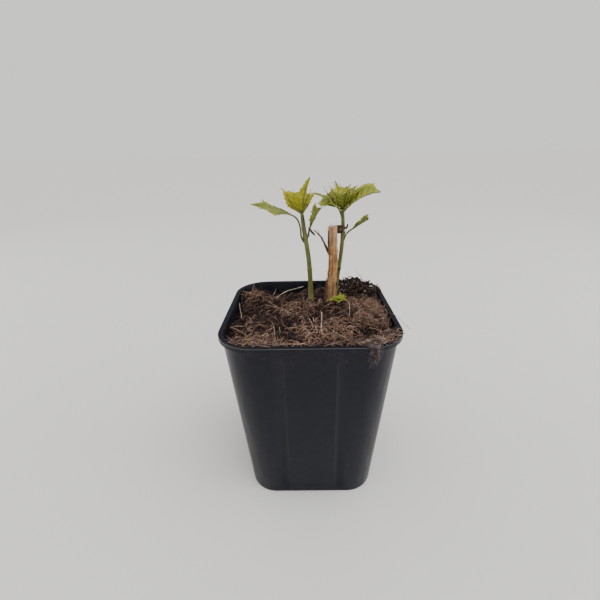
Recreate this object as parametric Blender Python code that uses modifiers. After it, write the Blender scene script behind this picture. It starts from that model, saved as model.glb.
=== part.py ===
"""Potted rose mallow: a cut-back stem with two young leafy shoots in a square nursery pot.

Metres, +Z up. The origin is the middle of the pot's flat underside, and the pot's front
faces -Y. Angles are in degrees; an azimuth is measured from +X towards +Y.
"""
import math

import bmesh
import bpy
from mathutils import Matrix, Vector, noise

MM = 0.001
GAP = 0.3 * MM
WELD = 0.01 * MM
FINE_WELD = 0.0005 * MM

# Pot: a standard 9 by 9 by 10 cm square nursery pot of thin black plastic
POT_SIDE = 90 * MM
POT_HEIGHT = 100 * MM
POT_FOOT_SIDE = 69.6 * MM
POT_WALL = 1.0 * MM
RIM_CORNER = 20 * MM
FOOT_CORNER = 14 * MM
BEAD_PROUD = 1.4 * MM
BEAD_HEIGHT = 2.2 * MM
FOOT_RING_WIDTH = 5 * MM
FOOT_RECESS = 3 * MM
POT_FLOOR = 4.4 * MM
FLUTE_OFFSET = 15 * MM
FLUTE_HALF_WIDTH = 3 * MM
FLUTE_FLAT_HALF = 1.3 * MM
FLUTE_DEPTH = 1.2 * MM
FLUTE_TOP = 93 * MM
FLUTE_FADE = 3 * MM
FLUTE_FOOT = 5 * MM
DRAIN_MIDDLE_RADIUS = 4 * MM
DRAIN_RADIUS = 3 * MM
DRAIN_CIRCLE = 20 * MM
DRAIN_COUNT = 8
CORNER_STEPS = 8

# Potting mix: it fills the pot to just under the rim, and the plant's feet stand on a flat patch
MIX_LEVEL = 95.6 * MM
MIX_PATCH_LEVEL = 98.4 * MM
MIX_PATCH_CENTRE = (9.5 * MM, 14 * MM)
MIX_PATCH_REACH = (13.5 * MM, 9.0 * MM)
MIX_PATCH_SLOPE = 0.55
MIX_GRAIN = 0.9 * MM
MIX_GRAIN_SIZE = 7 * MM
MIX_RINGS = 11
# Each mound or hollow of the mix: where it lies, how wide it is and how far it rises
MIX_FRONT_MOUND = (0 * MM, -40 * MM, 22 * MM, 2.6 * MM)
MIX_RIGHT_MOUND = (31 * MM, -6 * MM, 14 * MM, 4.0 * MM)
MIX_BACK_BANK = (30 * MM, 42 * MM, 9 * MM, 7.5 * MM)
MIX_RIGHT_BANK = (42 * MM, 28 * MM, 7 * MM, 5.0 * MM)
MIX_BACK_HOLLOW = (24 * MM, 30 * MM, 7 * MM, -5.0 * MM)
MIX_LEFT_HOLLOW = (-40 * MM, 6 * MM, 12 * MM, -3.6 * MM)
MIX_REAR_HOLLOW = (-14 * MM, 42 * MM, 14 * MM, -4.6 * MM)
MIX_CORNER_HOLLOW = (-38 * MM, -26 * MM, 8 * MM, -2.5 * MM)
MIX_SHAPES = (MIX_FRONT_MOUND, MIX_RIGHT_MOUND, MIX_BACK_BANK, MIX_RIGHT_BANK,
              MIX_BACK_HOLLOW, MIX_LEFT_HOLLOW, MIX_REAR_HOLLOW, MIX_CORNER_HOLLOW)

FEET = MIX_PATCH_LEVEL + GAP

# Old stem: a woody stub, cut off flat, with a flare at the ground and a swollen bud ring
STUB_FOOT = Vector((12.9 * MM, 13.0 * MM, FEET))
STUB_TOP = Vector((13.6 * MM, 13.0 * MM, 142.5 * MM))
STUB_BOW = 0.7 * MM
STUB_RADIUS = 3.05 * MM
STUB_TAPER = 0.78
STUB_FLARE = 0.9 * MM
STUB_FLARE_HEIGHT = 4 * MM
STUB_RING_HEIGHT = 128.6 * MM
STUB_RING_SWELL = 0.22 * MM
STUB_RING_REACH = 1.5 * MM
BARK_SLIVER_HEIGHT = 17 * MM
SPLINTER_HEIGHT = 2.6 * MM

# Dead twig on the stub's left
TWIG_HEIGHT = 129.4 * MM
TWIG_RADIUS = 0.7 * MM
TWIG_BEND = Vector((7.9 * MM, 12.8 * MM, 135.6 * MM))
TWIG_TIP = Vector((3.3 * MM, 12.5 * MM, 140.8 * MM))

# Green shoots: foot, a point half way up, and the tip where the leafy crown takes over
LEFT_SHOOT = (Vector((1.5 * MM, 14.0 * MM, FEET)), Vector((0.4 * MM, 14.0 * MM, 122 * MM)),
              Vector((-2.2 * MM, 13.1 * MM, 141 * MM)))
LEFT_SHOOT_RADIUS = 1.45 * MM
RIGHT_SHOOT = (Vector((15.6 * MM, 19.5 * MM, FEET)), Vector((18.9 * MM, 18.2 * MM, 126 * MM)),
               Vector((19.6 * MM, 17.4 * MM, 141 * MM)))
RIGHT_SHOOT_RADIUS = 1.3 * MM
SHOOT_TAPER = 0.86
SHOOT_FLARE = 0.5 * MM
SHOOT_FLARE_HEIGHT = 3 * MM

# The crowns' own stems go on from the shoots' tips
LEFT_CROWN_TOP = Vector((-3.1 * MM, 13.5 * MM, 149.2 * MM))
RIGHT_CROWN_TOP = Vector((19.2 * MM, 17.0 * MM, 149.5 * MM))
CROWN_STEM_TAPER = 0.8

# Leaves
LEAF_THICKNESS = 0.45 * MM
STALK_RADIUS = 0.48 * MM
RIB_END_RADIUS = 0.27 * MM
RIB_SHARE = 0.72
STALK_STEPS = 5
TOOTH_NOTCH = 0.26
TOOTH_LEAN = 0.55
LOBE_TIP = 1.8
SHOULDER_DROP = 0.09
SIDE_LOBE_FILL = 0.8
BLADE_COLUMNS = 4
FULL_FOLD_WIDTH = 5

# Basal sprout: a rosette of tiny leaves at the foot of the old stem
SPROUT_PLACE = Vector((16.8 * MM, 7.4 * MM, FEET))
SPROUT_HEIGHT = 1.6 * MM
SPROUT_RADIUS = 0.9 * MM
SPROUT_LEAVES = 6
SPROUT_LEAF_LENGTH = 4.8 * MM

COLOURS = {
    "pot": ((0.012, 0.013, 0.015), 0.32),
    "potting_mix": ((0.045, 0.022, 0.012), 0.95),
    "bark": ((0.31, 0.15, 0.07), 0.75),
    "dry_twig": ((0.14, 0.10, 0.08), 0.85),
    "dry_scale": ((0.10, 0.035, 0.015), 0.8),
    "shoot": ((0.16, 0.20, 0.035), 0.5),
    "leaf": ((0.22, 0.24, 0.02), 0.5),
    "young_leaf": ((0.40, 0.42, 0.03), 0.5),
}


class Leaf:
    """The named sizes of one leaf, its stalk included."""

    def __init__(self, azimuth, rise, length, width, stalk=3 * MM, stalk_rise=72, arch=20, fold=20,
                 roll=0, sweep=0, wave=0.6 * MM, teeth=7, shoulder=0.5, grow=1.0, middle=0.45,
                 below=1.2 * MM):
        self.azimuth = azimuth
        self.rise = rise
        self.length = length
        self.width = width
        self.stalk = stalk
        self.stalk_rise = stalk_rise
        self.arch = arch
        self.fold = fold
        self.roll = roll
        self.sweep = sweep
        self.wave = wave
        self.teeth = teeth
        self.shoulder = shoulder
        self.grow = grow
        self.middle = middle
        self.below = below


LEFT_CROWN_LEAVES = (
    Leaf(azimuth=-84, rise=86, length=20 * MM, width=23.5 * MM, stalk=1.5 * MM, stalk_rise=80,
         arch=-2, fold=30, roll=26, sweep=-13, wave=0.5 * MM, shoulder=0.4, grow=0.4, middle=0.27),
    Leaf(azimuth=90, rise=58, length=15 * MM, width=12 * MM, arch=30, below=1.8 * MM),
    Leaf(azimuth=142, rise=50, length=12.5 * MM, width=10 * MM, arch=35, below=2.4 * MM),
    Leaf(azimuth=108, rise=72, length=9 * MM, width=6 * MM, stalk=1.5 * MM, fold=40, teeth=5,
         below=0.6 * MM),
)
LEFT_SPREADING_LEAF = Leaf(azimuth=182, rise=19, length=23.2 * MM, width=13.5 * MM,
                           stalk=12.8 * MM, stalk_rise=86, arch=6, fold=20, roll=-30,
                           wave=0.9 * MM, shoulder=0.58, grow=1.5, middle=0.56)
LEFT_SPREADING_LEAF_HEIGHT = 137.4 * MM
LEFT_SMALL_LEAF = Leaf(azimuth=-4, rise=62, length=10.5 * MM, width=9.5 * MM, stalk=7.0 * MM,
                       stalk_rise=94, arch=24, fold=44, roll=-20, wave=0.3 * MM, teeth=5,
                       shoulder=0.8, grow=1.1, middle=0.5)
LEFT_SMALL_LEAF_HEIGHT = 137.9 * MM
RIGHT_CROWN_LEAVES = (
    Leaf(azimuth=-10, rise=50, length=21.6 * MM, width=14.5 * MM, stalk=2 * MM, arch=48, fold=25,
         roll=16, shoulder=0.76, grow=0.4, middle=0.42),
    Leaf(azimuth=159, rise=45, length=18.6 * MM, width=20 * MM, stalk=8 * MM, stalk_rise=80,
         arch=42, fold=14, roll=30, shoulder=0.52, grow=0.6, middle=0.22, below=7.0 * MM),
    Leaf(azimuth=122, rise=73, length=16.5 * MM, width=13 * MM, stalk=2 * MM, arch=16, shoulder=0.6),
    Leaf(azimuth=50, rise=58, length=17 * MM, width=14 * MM, arch=34, fold=26, shoulder=0.55),
    Leaf(azimuth=-84, rise=68, length=13 * MM, width=14 * MM, stalk=1.2 * MM, arch=24, fold=16,
         teeth=6, shoulder=0.75, grow=0.7),
)
RIGHT_SIDE_LEAF = Leaf(azimuth=-4, rise=25, length=8.5 * MM, width=7.5 * MM, stalk=7.0 * MM,
                       stalk_rise=46, arch=8, fold=46, roll=-16, wave=0.2 * MM, teeth=5,
                       shoulder=0.86, grow=1.1, middle=0.7)
RIGHT_SIDE_LEAF_HEIGHT = 137.0 * MM
DRY_SCALE = Leaf(azimuth=-100, rise=64, length=4.2 * MM, width=3.8 * MM, stalk=0.7 * MM,
                 stalk_rise=30, arch=80, fold=44, wave=0.3 * MM, teeth=2, shoulder=0.6, middle=0.8)
DRY_SCALE_HEIGHT = 138.6 * MM


def clear_scene():
    for thing in list(bpy.data.objects):
        bpy.data.objects.remove(thing, do_unlink=True)


def new_collection(name):
    group = bpy.data.collections.new(name)
    bpy.context.scene.collection.children.link(group)
    return group


def material(name):
    colour, roughness = COLOURS[name]
    made = bpy.data.materials.get(name) or bpy.data.materials.new(name)
    made.use_nodes = True
    shader = made.node_tree.nodes["Principled BSDF"]
    shader.inputs["Base Color"].default_value = (*colour, 1)
    shader.inputs["Roughness"].default_value = roughness
    shader.inputs["Metallic"].default_value = 0
    made.diffuse_color = (*colour, 1)
    return made


def mesh_object(name, mesh, group, finish):
    thing = bpy.data.objects.new(name, mesh)
    group.objects.link(thing)
    mesh.materials.clear()
    mesh.materials.append(material(finish))
    return thing


def applied(thing, merge=WELD):
    """The mesh that the object's modifiers or curve give, with its doubles merged."""
    graph = bpy.context.evaluated_depsgraph_get()
    mesh = bpy.data.meshes.new_from_object(thing.evaluated_get(graph))
    mesh.transform(thing.matrix_world)
    cleaned = bmesh.new()
    cleaned.from_mesh(mesh)
    bmesh.ops.remove_doubles(cleaned, verts=cleaned.verts, dist=merge)
    bmesh.ops.recalc_face_normals(cleaned, faces=cleaned.faces)
    cleaned.to_mesh(mesh)
    cleaned.free()
    return mesh


def smooth(share):
    share = min(max(share, 0.0), 1.0)
    return share * share * (3 - 2 * share)


def path_through(points, steps):
    """Points on one smooth curve that passes through the given points in turn."""
    points = [Vector(p) for p in points]
    ends = [points[0] * 2 - points[1]] + points + [points[-1] * 2 - points[-2]]
    path = [points[0]]
    for before, start, end, after in zip(ends, ends[1:], ends[2:], ends[3:]):
        for step in range(1, steps + 1):
            t = step / steps
            path.append(0.5 * ((2 * start) + (end - before) * t
                               + (2 * before - 5 * start + 4 * end - after) * t * t
                               + (3 * start - before - 3 * end + after) * t ** 3))
    return path


def at_height(path, height):
    """The place on a rising path at a height."""
    for low, high in zip(path, path[1:]):
        if low.z <= height <= high.z:
            return low.lerp(high, (height - low.z) / (high.z - low.z))
    return path[-1].copy()


def tube(name, path, radii, group, finish, sides=3):
    """A capped tube along a path, with its own radius at each point."""
    curve = bpy.data.curves.new(name, "CURVE")
    curve.dimensions = "3D"
    curve.bevel_depth = 1.0
    curve.bevel_resolution = sides
    curve.use_fill_caps = True
    line = curve.splines.new("POLY")
    line.points.add(len(path) - 1)
    for point, place, radius in zip(line.points, path, radii):
        point.co = (*place, 1)
        point.radius = radius
    drawn = bpy.data.objects.new(name, curve)
    group.objects.link(drawn)
    bpy.context.view_layer.update()
    mesh = applied(drawn)
    bpy.data.objects.remove(drawn, do_unlink=True)
    made = mesh_object(name, mesh, group, finish)
    mesh.shade_smooth()
    mesh.set_sharp_from_angle(angle=math.radians(50))
    return made


def keep_outer_shell(mesh):
    """Drops the loose scraps and the sealed hollows that fusing leaves."""
    whole = bmesh.new()
    whole.from_mesh(mesh)
    left = set(whole.verts)
    shells = []
    while left:
        start = left.pop()
        shell, edge = {start}, [start]
        while edge:
            for link in edge.pop().link_edges:
                for vert in link.verts:
                    if vert in left:
                        left.remove(vert)
                        shell.add(vert)
                        edge.append(vert)
        shells.append(shell)
    largest = max(shells, key=len, default=set())
    bmesh.ops.delete(whole, geom=[v for v in whole.verts if v not in largest], context="VERTS")
    whole.to_mesh(mesh)
    whole.free()


def is_closed(mesh, at_least):
    """Whether every edge of the mesh has two faces, and the mesh has grown by the fusing."""
    checked = bmesh.new()
    checked.from_mesh(mesh)
    closed = len(checked.faces) > at_least and all(len(edge.link_faces) == 2 for edge in checked.edges)
    checked.free()
    return closed


def fuse(name, stem, pieces, group, finish):
    """One closed solid: the stem with everything in the pieces' collection joined on."""
    bpy.context.view_layer.update()
    union = stem.modifiers.new("fused", "BOOLEAN")
    union.operation = "UNION"
    union.operand_type = "COLLECTION"
    union.collection = pieces
    for solver in ("EXACT", "MANIFOLD"):
        union.solver = solver
        bpy.context.view_layer.update()
        mesh = applied(stem, merge=FINE_WELD)
        keep_outer_shell(mesh)
        if is_closed(mesh, at_least=len(stem.data.polygons)):
            break
    for thing in list(pieces.objects) + [stem]:
        bpy.data.objects.remove(thing, do_unlink=True)
    bpy.data.collections.remove(pieces)
    return mesh_object(name, mesh, group, finish)


def side_profile(half, corner):
    """Points along one side of a rounded square, from its middle to just past its corner arc.

    Each point is (x, y, how much of it is flute) for the side that faces -Y.
    """
    flute = []
    for centre in (-FLUTE_OFFSET, FLUTE_OFFSET):
        flute += [(centre - FLUTE_HALF_WIDTH, 0), (centre - FLUTE_FLAT_HALF, 1),
                  (centre + FLUTE_FLAT_HALF, 1), (centre + FLUTE_HALF_WIDTH, 0)]
    points = [(x, -half, share) for x, share in flute]
    points.insert(4, (0.0, -half, 0))
    centre = half - corner
    for step in range(CORNER_STEPS + 1):
        angle = math.radians(-90 + 90 * step / CORNER_STEPS)
        points.append((centre + corner * math.cos(angle), -centre + corner * math.sin(angle), 0))
    return points


def pot_half(z):
    """Half the pot's outer side at a height, without the rim's bead."""
    share = z / POT_HEIGHT
    return (POT_FOOT_SIDE + (POT_SIDE - 2 * BEAD_PROUD - POT_FOOT_SIDE) * share) / 2


def pot_corner(z):
    return FOOT_CORNER + (RIM_CORNER - BEAD_PROUD - FOOT_CORNER) * z / POT_HEIGHT


def flute_share(z):
    """1 along the flutes, fading to 0 just under the rim and at the foot."""
    return smooth((FLUTE_TOP - z) / FLUTE_FADE) * smooth((z - FLUTE_FOOT / 2) / FLUTE_FOOT)


def pot_ring(z, inset=0.0):
    """One ring of the pot's wall at a height, set in from the outside by the inset."""
    half = pot_half(z) - inset
    corner = max(pot_corner(z) - inset, half * 0.2)
    depth = FLUTE_DEPTH * flute_share(z)
    ring = []
    for turn in range(4):
        spin = Matrix.Rotation(math.radians(90 * turn), 3, "Z")
        for x, y, share in side_profile(half, corner):
            ring.append(spin @ Vector((x, y + depth * share, z)))
    return ring


def loft(rings):
    """A closed solid through rings of equal length, with both ends capped."""
    made = bmesh.new()
    rows = [[made.verts.new(point) for point in ring] for ring in rings]
    count = len(rows[0])
    for lower, upper in zip(rows, rows[1:]):
        for i in range(count):
            j = (i + 1) % count
            made.faces.new((lower[i], lower[j], upper[j], upper[i]))
    made.faces.new(list(reversed(rows[0])))
    made.faces.new(rows[-1])
    bmesh.ops.triangulate(made, faces=made.faces, quad_method="FIXED")
    bmesh.ops.recalc_face_normals(made, faces=made.faces)
    mesh = bpy.data.meshes.new("loft")
    made.to_mesh(mesh)
    made.free()
    return mesh


def build_pot(group, cutters):
    bead_low = POT_HEIGHT - BEAD_HEIGHT
    inside = POT_WALL
    recess_inset = POT_WALL + FOOT_RING_WIDTH
    shrink = -BEAD_PROUD
    rings = [
        [Vector((p.x, p.y, FOOT_RECESS)) for p in pot_ring(FOOT_RECESS, recess_inset + 0.6 * MM)],
        [Vector((p.x, p.y, 0)) for p in pot_ring(0, recess_inset)],
        [Vector((p.x, p.y, 0)) for p in pot_ring(0, 0.5 * MM)],
        pot_ring(0.6 * MM),
    ]
    for z in (4 * MM, 8 * MM, 35 * MM, 65 * MM, FLUTE_TOP - FLUTE_FADE, FLUTE_TOP, bead_low):
        rings.append(pot_ring(z))
    rings.append([Vector((p.x, p.y, bead_low)) for p in pot_ring(POT_HEIGHT, shrink)])
    rings.append([Vector((p.x, p.y, POT_HEIGHT - 0.5 * MM)) for p in pot_ring(POT_HEIGHT, shrink)])
    rings.append(pot_ring(POT_HEIGHT, shrink + 0.4 * MM))
    rings.append(pot_ring(POT_HEIGHT, inside - 0.3 * MM))
    for z in (POT_HEIGHT - 0.5 * MM, FLUTE_TOP, FLUTE_TOP - FLUTE_FADE, 65 * MM, 35 * MM, 8 * MM,
              POT_FLOOR):
        rings.append(pot_ring(z, inside))
    pot = mesh_object("pot", loft(rings), group, "pot")

    drill = bmesh.new()
    places = [(0.0, 0.0, DRAIN_MIDDLE_RADIUS)]
    for hole in range(DRAIN_COUNT):
        angle = math.radians(360 * (hole + 0.5) / DRAIN_COUNT)
        places.append((DRAIN_CIRCLE * math.cos(angle), DRAIN_CIRCLE * math.sin(angle), DRAIN_RADIUS))
    for x, y, radius in places:
        bmesh.ops.create_cone(drill, cap_ends=True, segments=16, radius1=radius, radius2=radius,
                              depth=3 * FOOT_RECESS, matrix=Matrix.Translation((x, y, FOOT_RECESS)))
    drill_mesh = bpy.data.meshes.new("drain_holes")
    drill.to_mesh(drill_mesh)
    drill.free()
    cutter = bpy.data.objects.new("drain_holes", drill_mesh)
    cutters.objects.link(cutter)
    cutter.hide_render = True
    cutter.display_type = "WIRE"
    cut = pot.modifiers.new("drain_holes", "BOOLEAN")
    cut.operation = "DIFFERENCE"
    cut.object = cutter
    cut.solver = "EXACT"
    pot.data.shade_smooth()
    pot.data.set_sharp_from_angle(angle=math.radians(35))


def mix_height(x, y):
    """The height of the potting mix: mounds and hollows, fine lumps, and the flat patch."""
    height = MIX_LEVEL
    for place_x, place_y, reach, rise in MIX_SHAPES:
        away = ((x - place_x) ** 2 + (y - place_y) ** 2) / reach ** 2
        height += rise * math.exp(-away)
    height += MIX_GRAIN * noise.noise(Vector((x, y, 0)) / MIX_GRAIN_SIZE)
    out = math.hypot((x - MIX_PATCH_CENTRE[0]) / MIX_PATCH_REACH[0],
                     (y - MIX_PATCH_CENTRE[1]) / MIX_PATCH_REACH[1])
    return MIX_PATCH_LEVEL + (height - MIX_PATCH_LEVEL) * smooth((out - 1) / MIX_PATCH_SLOPE)


def build_mix(group):
    clear = POT_WALL + GAP
    rings = [[p + Vector((0, 0, GAP)) for p in pot_ring(POT_FLOOR, clear + GAP)]]
    rings += [pot_ring(z, clear) for z in (8 * MM, 35 * MM, 65 * MM, 85 * MM)]
    edge = pot_ring(FLUTE_TOP - FLUTE_FADE, clear + 0.5 * MM)
    for step in range(MIX_RINGS):
        share = 1 - step / MIX_RINGS
        # The rings close in on the flat patch, so that it is finely divided
        drift = Vector((MIX_PATCH_CENTRE[0], MIX_PATCH_CENTRE[1], 0)) * (1 - share)
        ring = [Vector((p.x * share, p.y * share, 0)) + drift for p in edge]
        rings.append([Vector((p.x, p.y, mix_height(p.x, p.y))) for p in ring])
    mix = mesh_object("potting_mix", loft(rings), group, "potting_mix")
    mix.data.shade_smooth()


def stub_radius(z):
    share = (z - STUB_FOOT.z) / (STUB_TOP.z - STUB_FOOT.z)
    radius = STUB_RADIUS * (1 + (STUB_TAPER - 1) * share)
    radius += STUB_FLARE * math.exp(-(z - STUB_FOOT.z) / STUB_FLARE_HEIGHT)
    radius += STUB_RING_SWELL * math.exp(-((z - STUB_RING_HEIGHT) / STUB_RING_REACH) ** 2)
    return radius


def stub_axis(share):
    """The stub's middle at a share of its height: it bows a little to the right."""
    return STUB_FOOT.lerp(STUB_TOP, share) + Vector((STUB_BOW * math.sin(math.pi * share) ** 2, 0, 0))


def build_old_stem(group):
    heights = [0, 0.02, 0.06, 0.12, 0.2, 0.32, 0.45, 0.58, 0.65, 0.68, 0.705, 0.73, 0.77, 0.88, 1]
    path = [stub_axis(share) for share in heights]
    radii = [stub_radius(point.z) for point in path]
    stem = tube("old_stem_core", path, radii, group, "bark", sides=4)
    pieces = new_collection("old_stem_pieces")
    foot = STUB_FOOT + Vector((-STUB_RADIUS - 0.5 * MM, 0, 0))
    sliver = [foot + Vector((0, 0, 0.2 * MM)), foot + Vector((-0.3 * MM, 0, BARK_SLIVER_HEIGHT * 0.4)),
              foot + Vector((0.35 * MM, 0, BARK_SLIVER_HEIGHT * 0.75)),
              foot + Vector((0.9 * MM, 0, BARK_SLIVER_HEIGHT))]
    tube("bark_sliver", sliver, [1.1 * MM, 0.9 * MM, 0.7 * MM, 0.25 * MM], pieces, "bark", sides=1)
    edge = STUB_TOP + Vector((0.4, -0.2, 0)) * STUB_RADIUS
    splinter = [edge - Vector((0, 0, 1.5 * MM)), edge + Vector((-0.3 * MM, 0, SPLINTER_HEIGHT * 0.5)),
                edge + Vector((-0.8 * MM, 0, SPLINTER_HEIGHT))]
    tube("splinter", splinter, [0.7 * MM, 0.4 * MM, 0.12 * MM], pieces, "bark", sides=1)
    fuse("old_stem", stem, pieces, group, "bark")


def build_dead_twig(group):
    reach = stub_radius(TWIG_HEIGHT) + GAP + TWIG_RADIUS
    axis = stub_axis((TWIG_HEIGHT - STUB_FOOT.z) / (STUB_TOP.z - STUB_FOOT.z))
    root = axis + Vector((-reach, 0, 0))
    path = path_through((root, TWIG_BEND, TWIG_TIP), 4)
    path.insert(0, root - Vector((0, 0, TWIG_RADIUS)))
    radii = [TWIG_RADIUS * (1 - 0.72 * i / (len(path) - 1)) for i in range(len(path))]
    tube("dead_twig", path, radii, group, "dry_twig", sides=1)


def shoot_path(points):
    """A shoot's centre line: it leaves the ground upright, so that its cut foot is flat."""
    path = path_through(points, 7)
    path.insert(1, path[0] + Vector((0, 0, 1 * MM)))
    return path


class Shoot:
    """A green shoot's centre line, and its radius just above the ground."""

    def __init__(self, points, radius):
        self.path = shoot_path(points)
        self.radius = radius

    def radius_at(self, height):
        rise = height - self.path[0].z
        share = rise / (self.path[-1].z - self.path[0].z)
        flare = SHOOT_FLARE * math.exp(-rise / SHOOT_FLARE_HEIGHT)
        return self.radius * (1 + (SHOOT_TAPER - 1) * share) + flare


def build_shoot(name, points, radius, group):
    shoot = Shoot(points, radius)
    radii = [shoot.radius_at(point.z) for point in shoot.path]
    tube(name, shoot.path, radii, group, "shoot", sides=3)
    return shoot


def half_width(leaf, t):
    """Half the blade's width at a share of its length.

    Two side lobes widen from the base and end at the shoulder, where the middle lobe goes on.
    """
    if t <= 0 or t >= 1:
        return 0.0
    side = min(1, t / (SIDE_LOBE_FILL * leaf.shoulder)) ** leaf.grow
    side *= 1 - smooth((t - leaf.shoulder) / SHOULDER_DROP)
    middle = leaf.middle * min(1, (1 - t) / (1 - leaf.shoulder))
    return leaf.width / 2 * (side + (1 - side) * min(middle, t / leaf.shoulder))


def leaf_line(foot, leaf):
    """The leaf's middle line from its foot to its tip: places, headings and sideways vectors."""
    blade_steps = 2 * leaf.teeth
    place = Vector(foot)
    line = []
    for step in range(STALK_STEPS + blade_steps + 1):
        if step <= STALK_STEPS:
            share = (step / STALK_STEPS) ** 2
            rise = leaf.stalk_rise + (leaf.rise - leaf.stalk_rise) * share
            sweep = 0.0
        else:
            share = (step - STALK_STEPS) / blade_steps
            rise = leaf.rise - leaf.arch * share
            sweep = leaf.sweep * share * 2
        rise, sweep, turn = (math.radians(a) for a in (rise, sweep, leaf.azimuth))
        flat = Vector((math.cos(turn), math.sin(turn), 0))
        heading = flat * math.cos(rise) + Vector((0, 0, math.sin(rise)))
        side = flat.cross(Vector((0, 0, 1)))
        heading, side = (heading * math.cos(sweep) + side * math.sin(sweep),
                         side * math.cos(sweep) - heading * math.sin(sweep))
        line.append((place.copy(), heading, side))
        stride = leaf.stalk / STALK_STEPS if step < STALK_STEPS else leaf.length / blade_steps
        place += heading * stride
    return line


def blade_mesh(name, foot, leaf):
    """The blade: a toothed, folded and waved sheet round the middle line, made solid."""
    line = leaf_line(foot, leaf)[STALK_STEPS:]
    rows = len(line) - 1
    made = bmesh.new()
    grid = []
    for row, (place, heading, side) in enumerate(line):
        t = row / rows
        spin = Matrix.Rotation(math.radians(leaf.roll), 3, heading)
        across = spin @ side
        up = across.cross(heading)
        if row == rows:
            grid.append([made.verts.new(place)] * (BLADE_COLUMNS + 1))
            continue
        width = max(half_width(leaf, t), STALK_RADIUS * 0.7)
        # A narrow stretch is folded less, so that its two halves don't run into each other
        fold = leaf.fold * min(1, width / (FULL_FOLD_WIDTH * LEAF_THICKNESS))
        notched = 0 < row and row % 2 == 0
        verts = []
        for column in range(BLADE_COLUMNS + 1):
            s = 2 * column / BLADE_COLUMNS - 1
            out = width * abs(s) * (1 - TOOTH_NOTCH * (notched and abs(s) == 1))
            lobe_tip = 1 + LOBE_TIP * math.exp(-((t - leaf.shoulder) / SHOULDER_DROP) ** 2)
            lean = TOOTH_LEAN * lobe_tip * leaf.length / rows * (not notched and abs(s) == 1)
            lean *= row > 0
            angle = math.radians(fold * (0.6 + 0.4 * abs(s)))
            wave = leaf.wave * s * abs(s) * math.sin(9 * t + 1.3 * s) * min(1, width / leaf.width * 3)
            verts.append(made.verts.new(
                place + across * math.copysign(out * math.cos(angle), s)
                + up * (out * math.sin(angle) + wave) + heading * lean))
        grid.append(verts)
    for low, high in zip(grid, grid[1:]):
        for i in range(BLADE_COLUMNS):
            corners = [low[i], low[i + 1], high[i + 1], high[i]]
            if high[i] is high[i + 1]:
                corners = corners[:3]
            made.faces.new(corners)
    bmesh.ops.triangulate(made, faces=made.faces)
    bmesh.ops.recalc_face_normals(made, faces=made.faces)
    mesh = bpy.data.meshes.new(name)
    made.to_mesh(mesh)
    made.free()
    return mesh


def add_leaf(name, foot, leaf, pieces, finish):
    """A blade and its stalk with the midrib, as two closed pieces that cross each other."""
    sheet = bpy.data.objects.new(name, blade_mesh(name, foot, leaf))
    pieces.objects.link(sheet)
    wall = sheet.modifiers.new("thickness", "SOLIDIFY")
    wall.thickness = LEAF_THICKNESS
    wall.offset = 0
    bpy.context.view_layer.update()
    solid = applied(sheet)
    bpy.data.objects.remove(sheet, do_unlink=True)
    blade = mesh_object(name, solid, pieces, finish)
    line = leaf_line(foot, leaf)
    ribs = STALK_STEPS + max(2, round((len(line) - STALK_STEPS) * RIB_SHARE))
    path = [place for place, heading, side in line[:ribs + 1]]
    radii = [STALK_RADIUS + (RIB_END_RADIUS - STALK_RADIUS) * i / (len(path) - 1)
             for i in range(len(path))]
    stalk = tube(name + "_stalk", path, radii, pieces, finish, sides=1)
    return blade, stalk


def build_crown(name, shoot, top, leaves, group, finish):
    """A leafy mass: a short stem that goes on from the shoot's tip, with its leaves fused on."""
    tip = shoot.path[-1]
    start = tip + (top - tip).normalized() * GAP
    path = [start.lerp(top, step / 5) for step in range(6)]
    base = shoot.radius_at(tip.z)
    radii = [base * (1 + (CROWN_STEM_TAPER - 1) * step / 5) for step in range(6)]
    stem = tube(name + "_stem", path, radii, group, finish, sides=2)
    pieces = new_collection(name + "_leaves")
    for number, leaf in enumerate(leaves):
        foot = start.lerp(top, 1 - leaf.below / (top - start).length)
        add_leaf("%s_leaf_%d" % (name, number), foot, leaf, pieces, finish)
    return fuse(name, stem, pieces, group, finish)


def build_single_leaf(name, shoot, height, leaf, group, finish):
    """A leaf that stands on the shoot by itself, its stalk's foot just clear of the stem."""
    axis = at_height(shoot.path, height)
    angle = math.radians(leaf.azimuth)
    slant = math.radians(leaf.stalk_rise)
    reach = shoot.radius_at(height) + GAP + STALK_RADIUS * math.sin(slant) + 0.1 * MM
    foot = axis + Vector((math.cos(angle), math.sin(angle), 0)) * reach
    pieces = new_collection(name + "_pieces")
    blade, stalk = add_leaf(name, foot, leaf, pieces, finish)
    pieces.objects.unlink(stalk)
    group.objects.link(stalk)
    return fuse(name, stalk, pieces, group, finish)


def build_sprout(group):
    path = [SPROUT_PLACE + Vector((0, 0, SPROUT_HEIGHT * step / 2)) for step in range(3)]
    stem = tube("basal_sprout_stem", path, [SPROUT_RADIUS, SPROUT_RADIUS, SPROUT_RADIUS * 0.6],
                group, "young_leaf", sides=2)
    pieces = new_collection("basal_sprout_leaves")
    for number in range(SPROUT_LEAVES):
        fan = number / (SPROUT_LEAVES - 1)
        leaf = Leaf(azimuth=-172 + 200 * fan, rise=34 + 26 * (number % 2), length=SPROUT_LEAF_LENGTH,
                    width=4.4 * MM, stalk=0.8 * MM, arch=40, wave=0.2 * MM, teeth=3, shoulder=0.6,
                    middle=0.6)
        foot = path[1] + Vector((0, 0, 0.2 * MM * (number % 3)))
        add_leaf("basal_sprout_leaf_%d" % number, foot, leaf, pieces, "young_leaf")
    fuse("basal_sprout", stem, pieces, group, "young_leaf")


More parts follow.
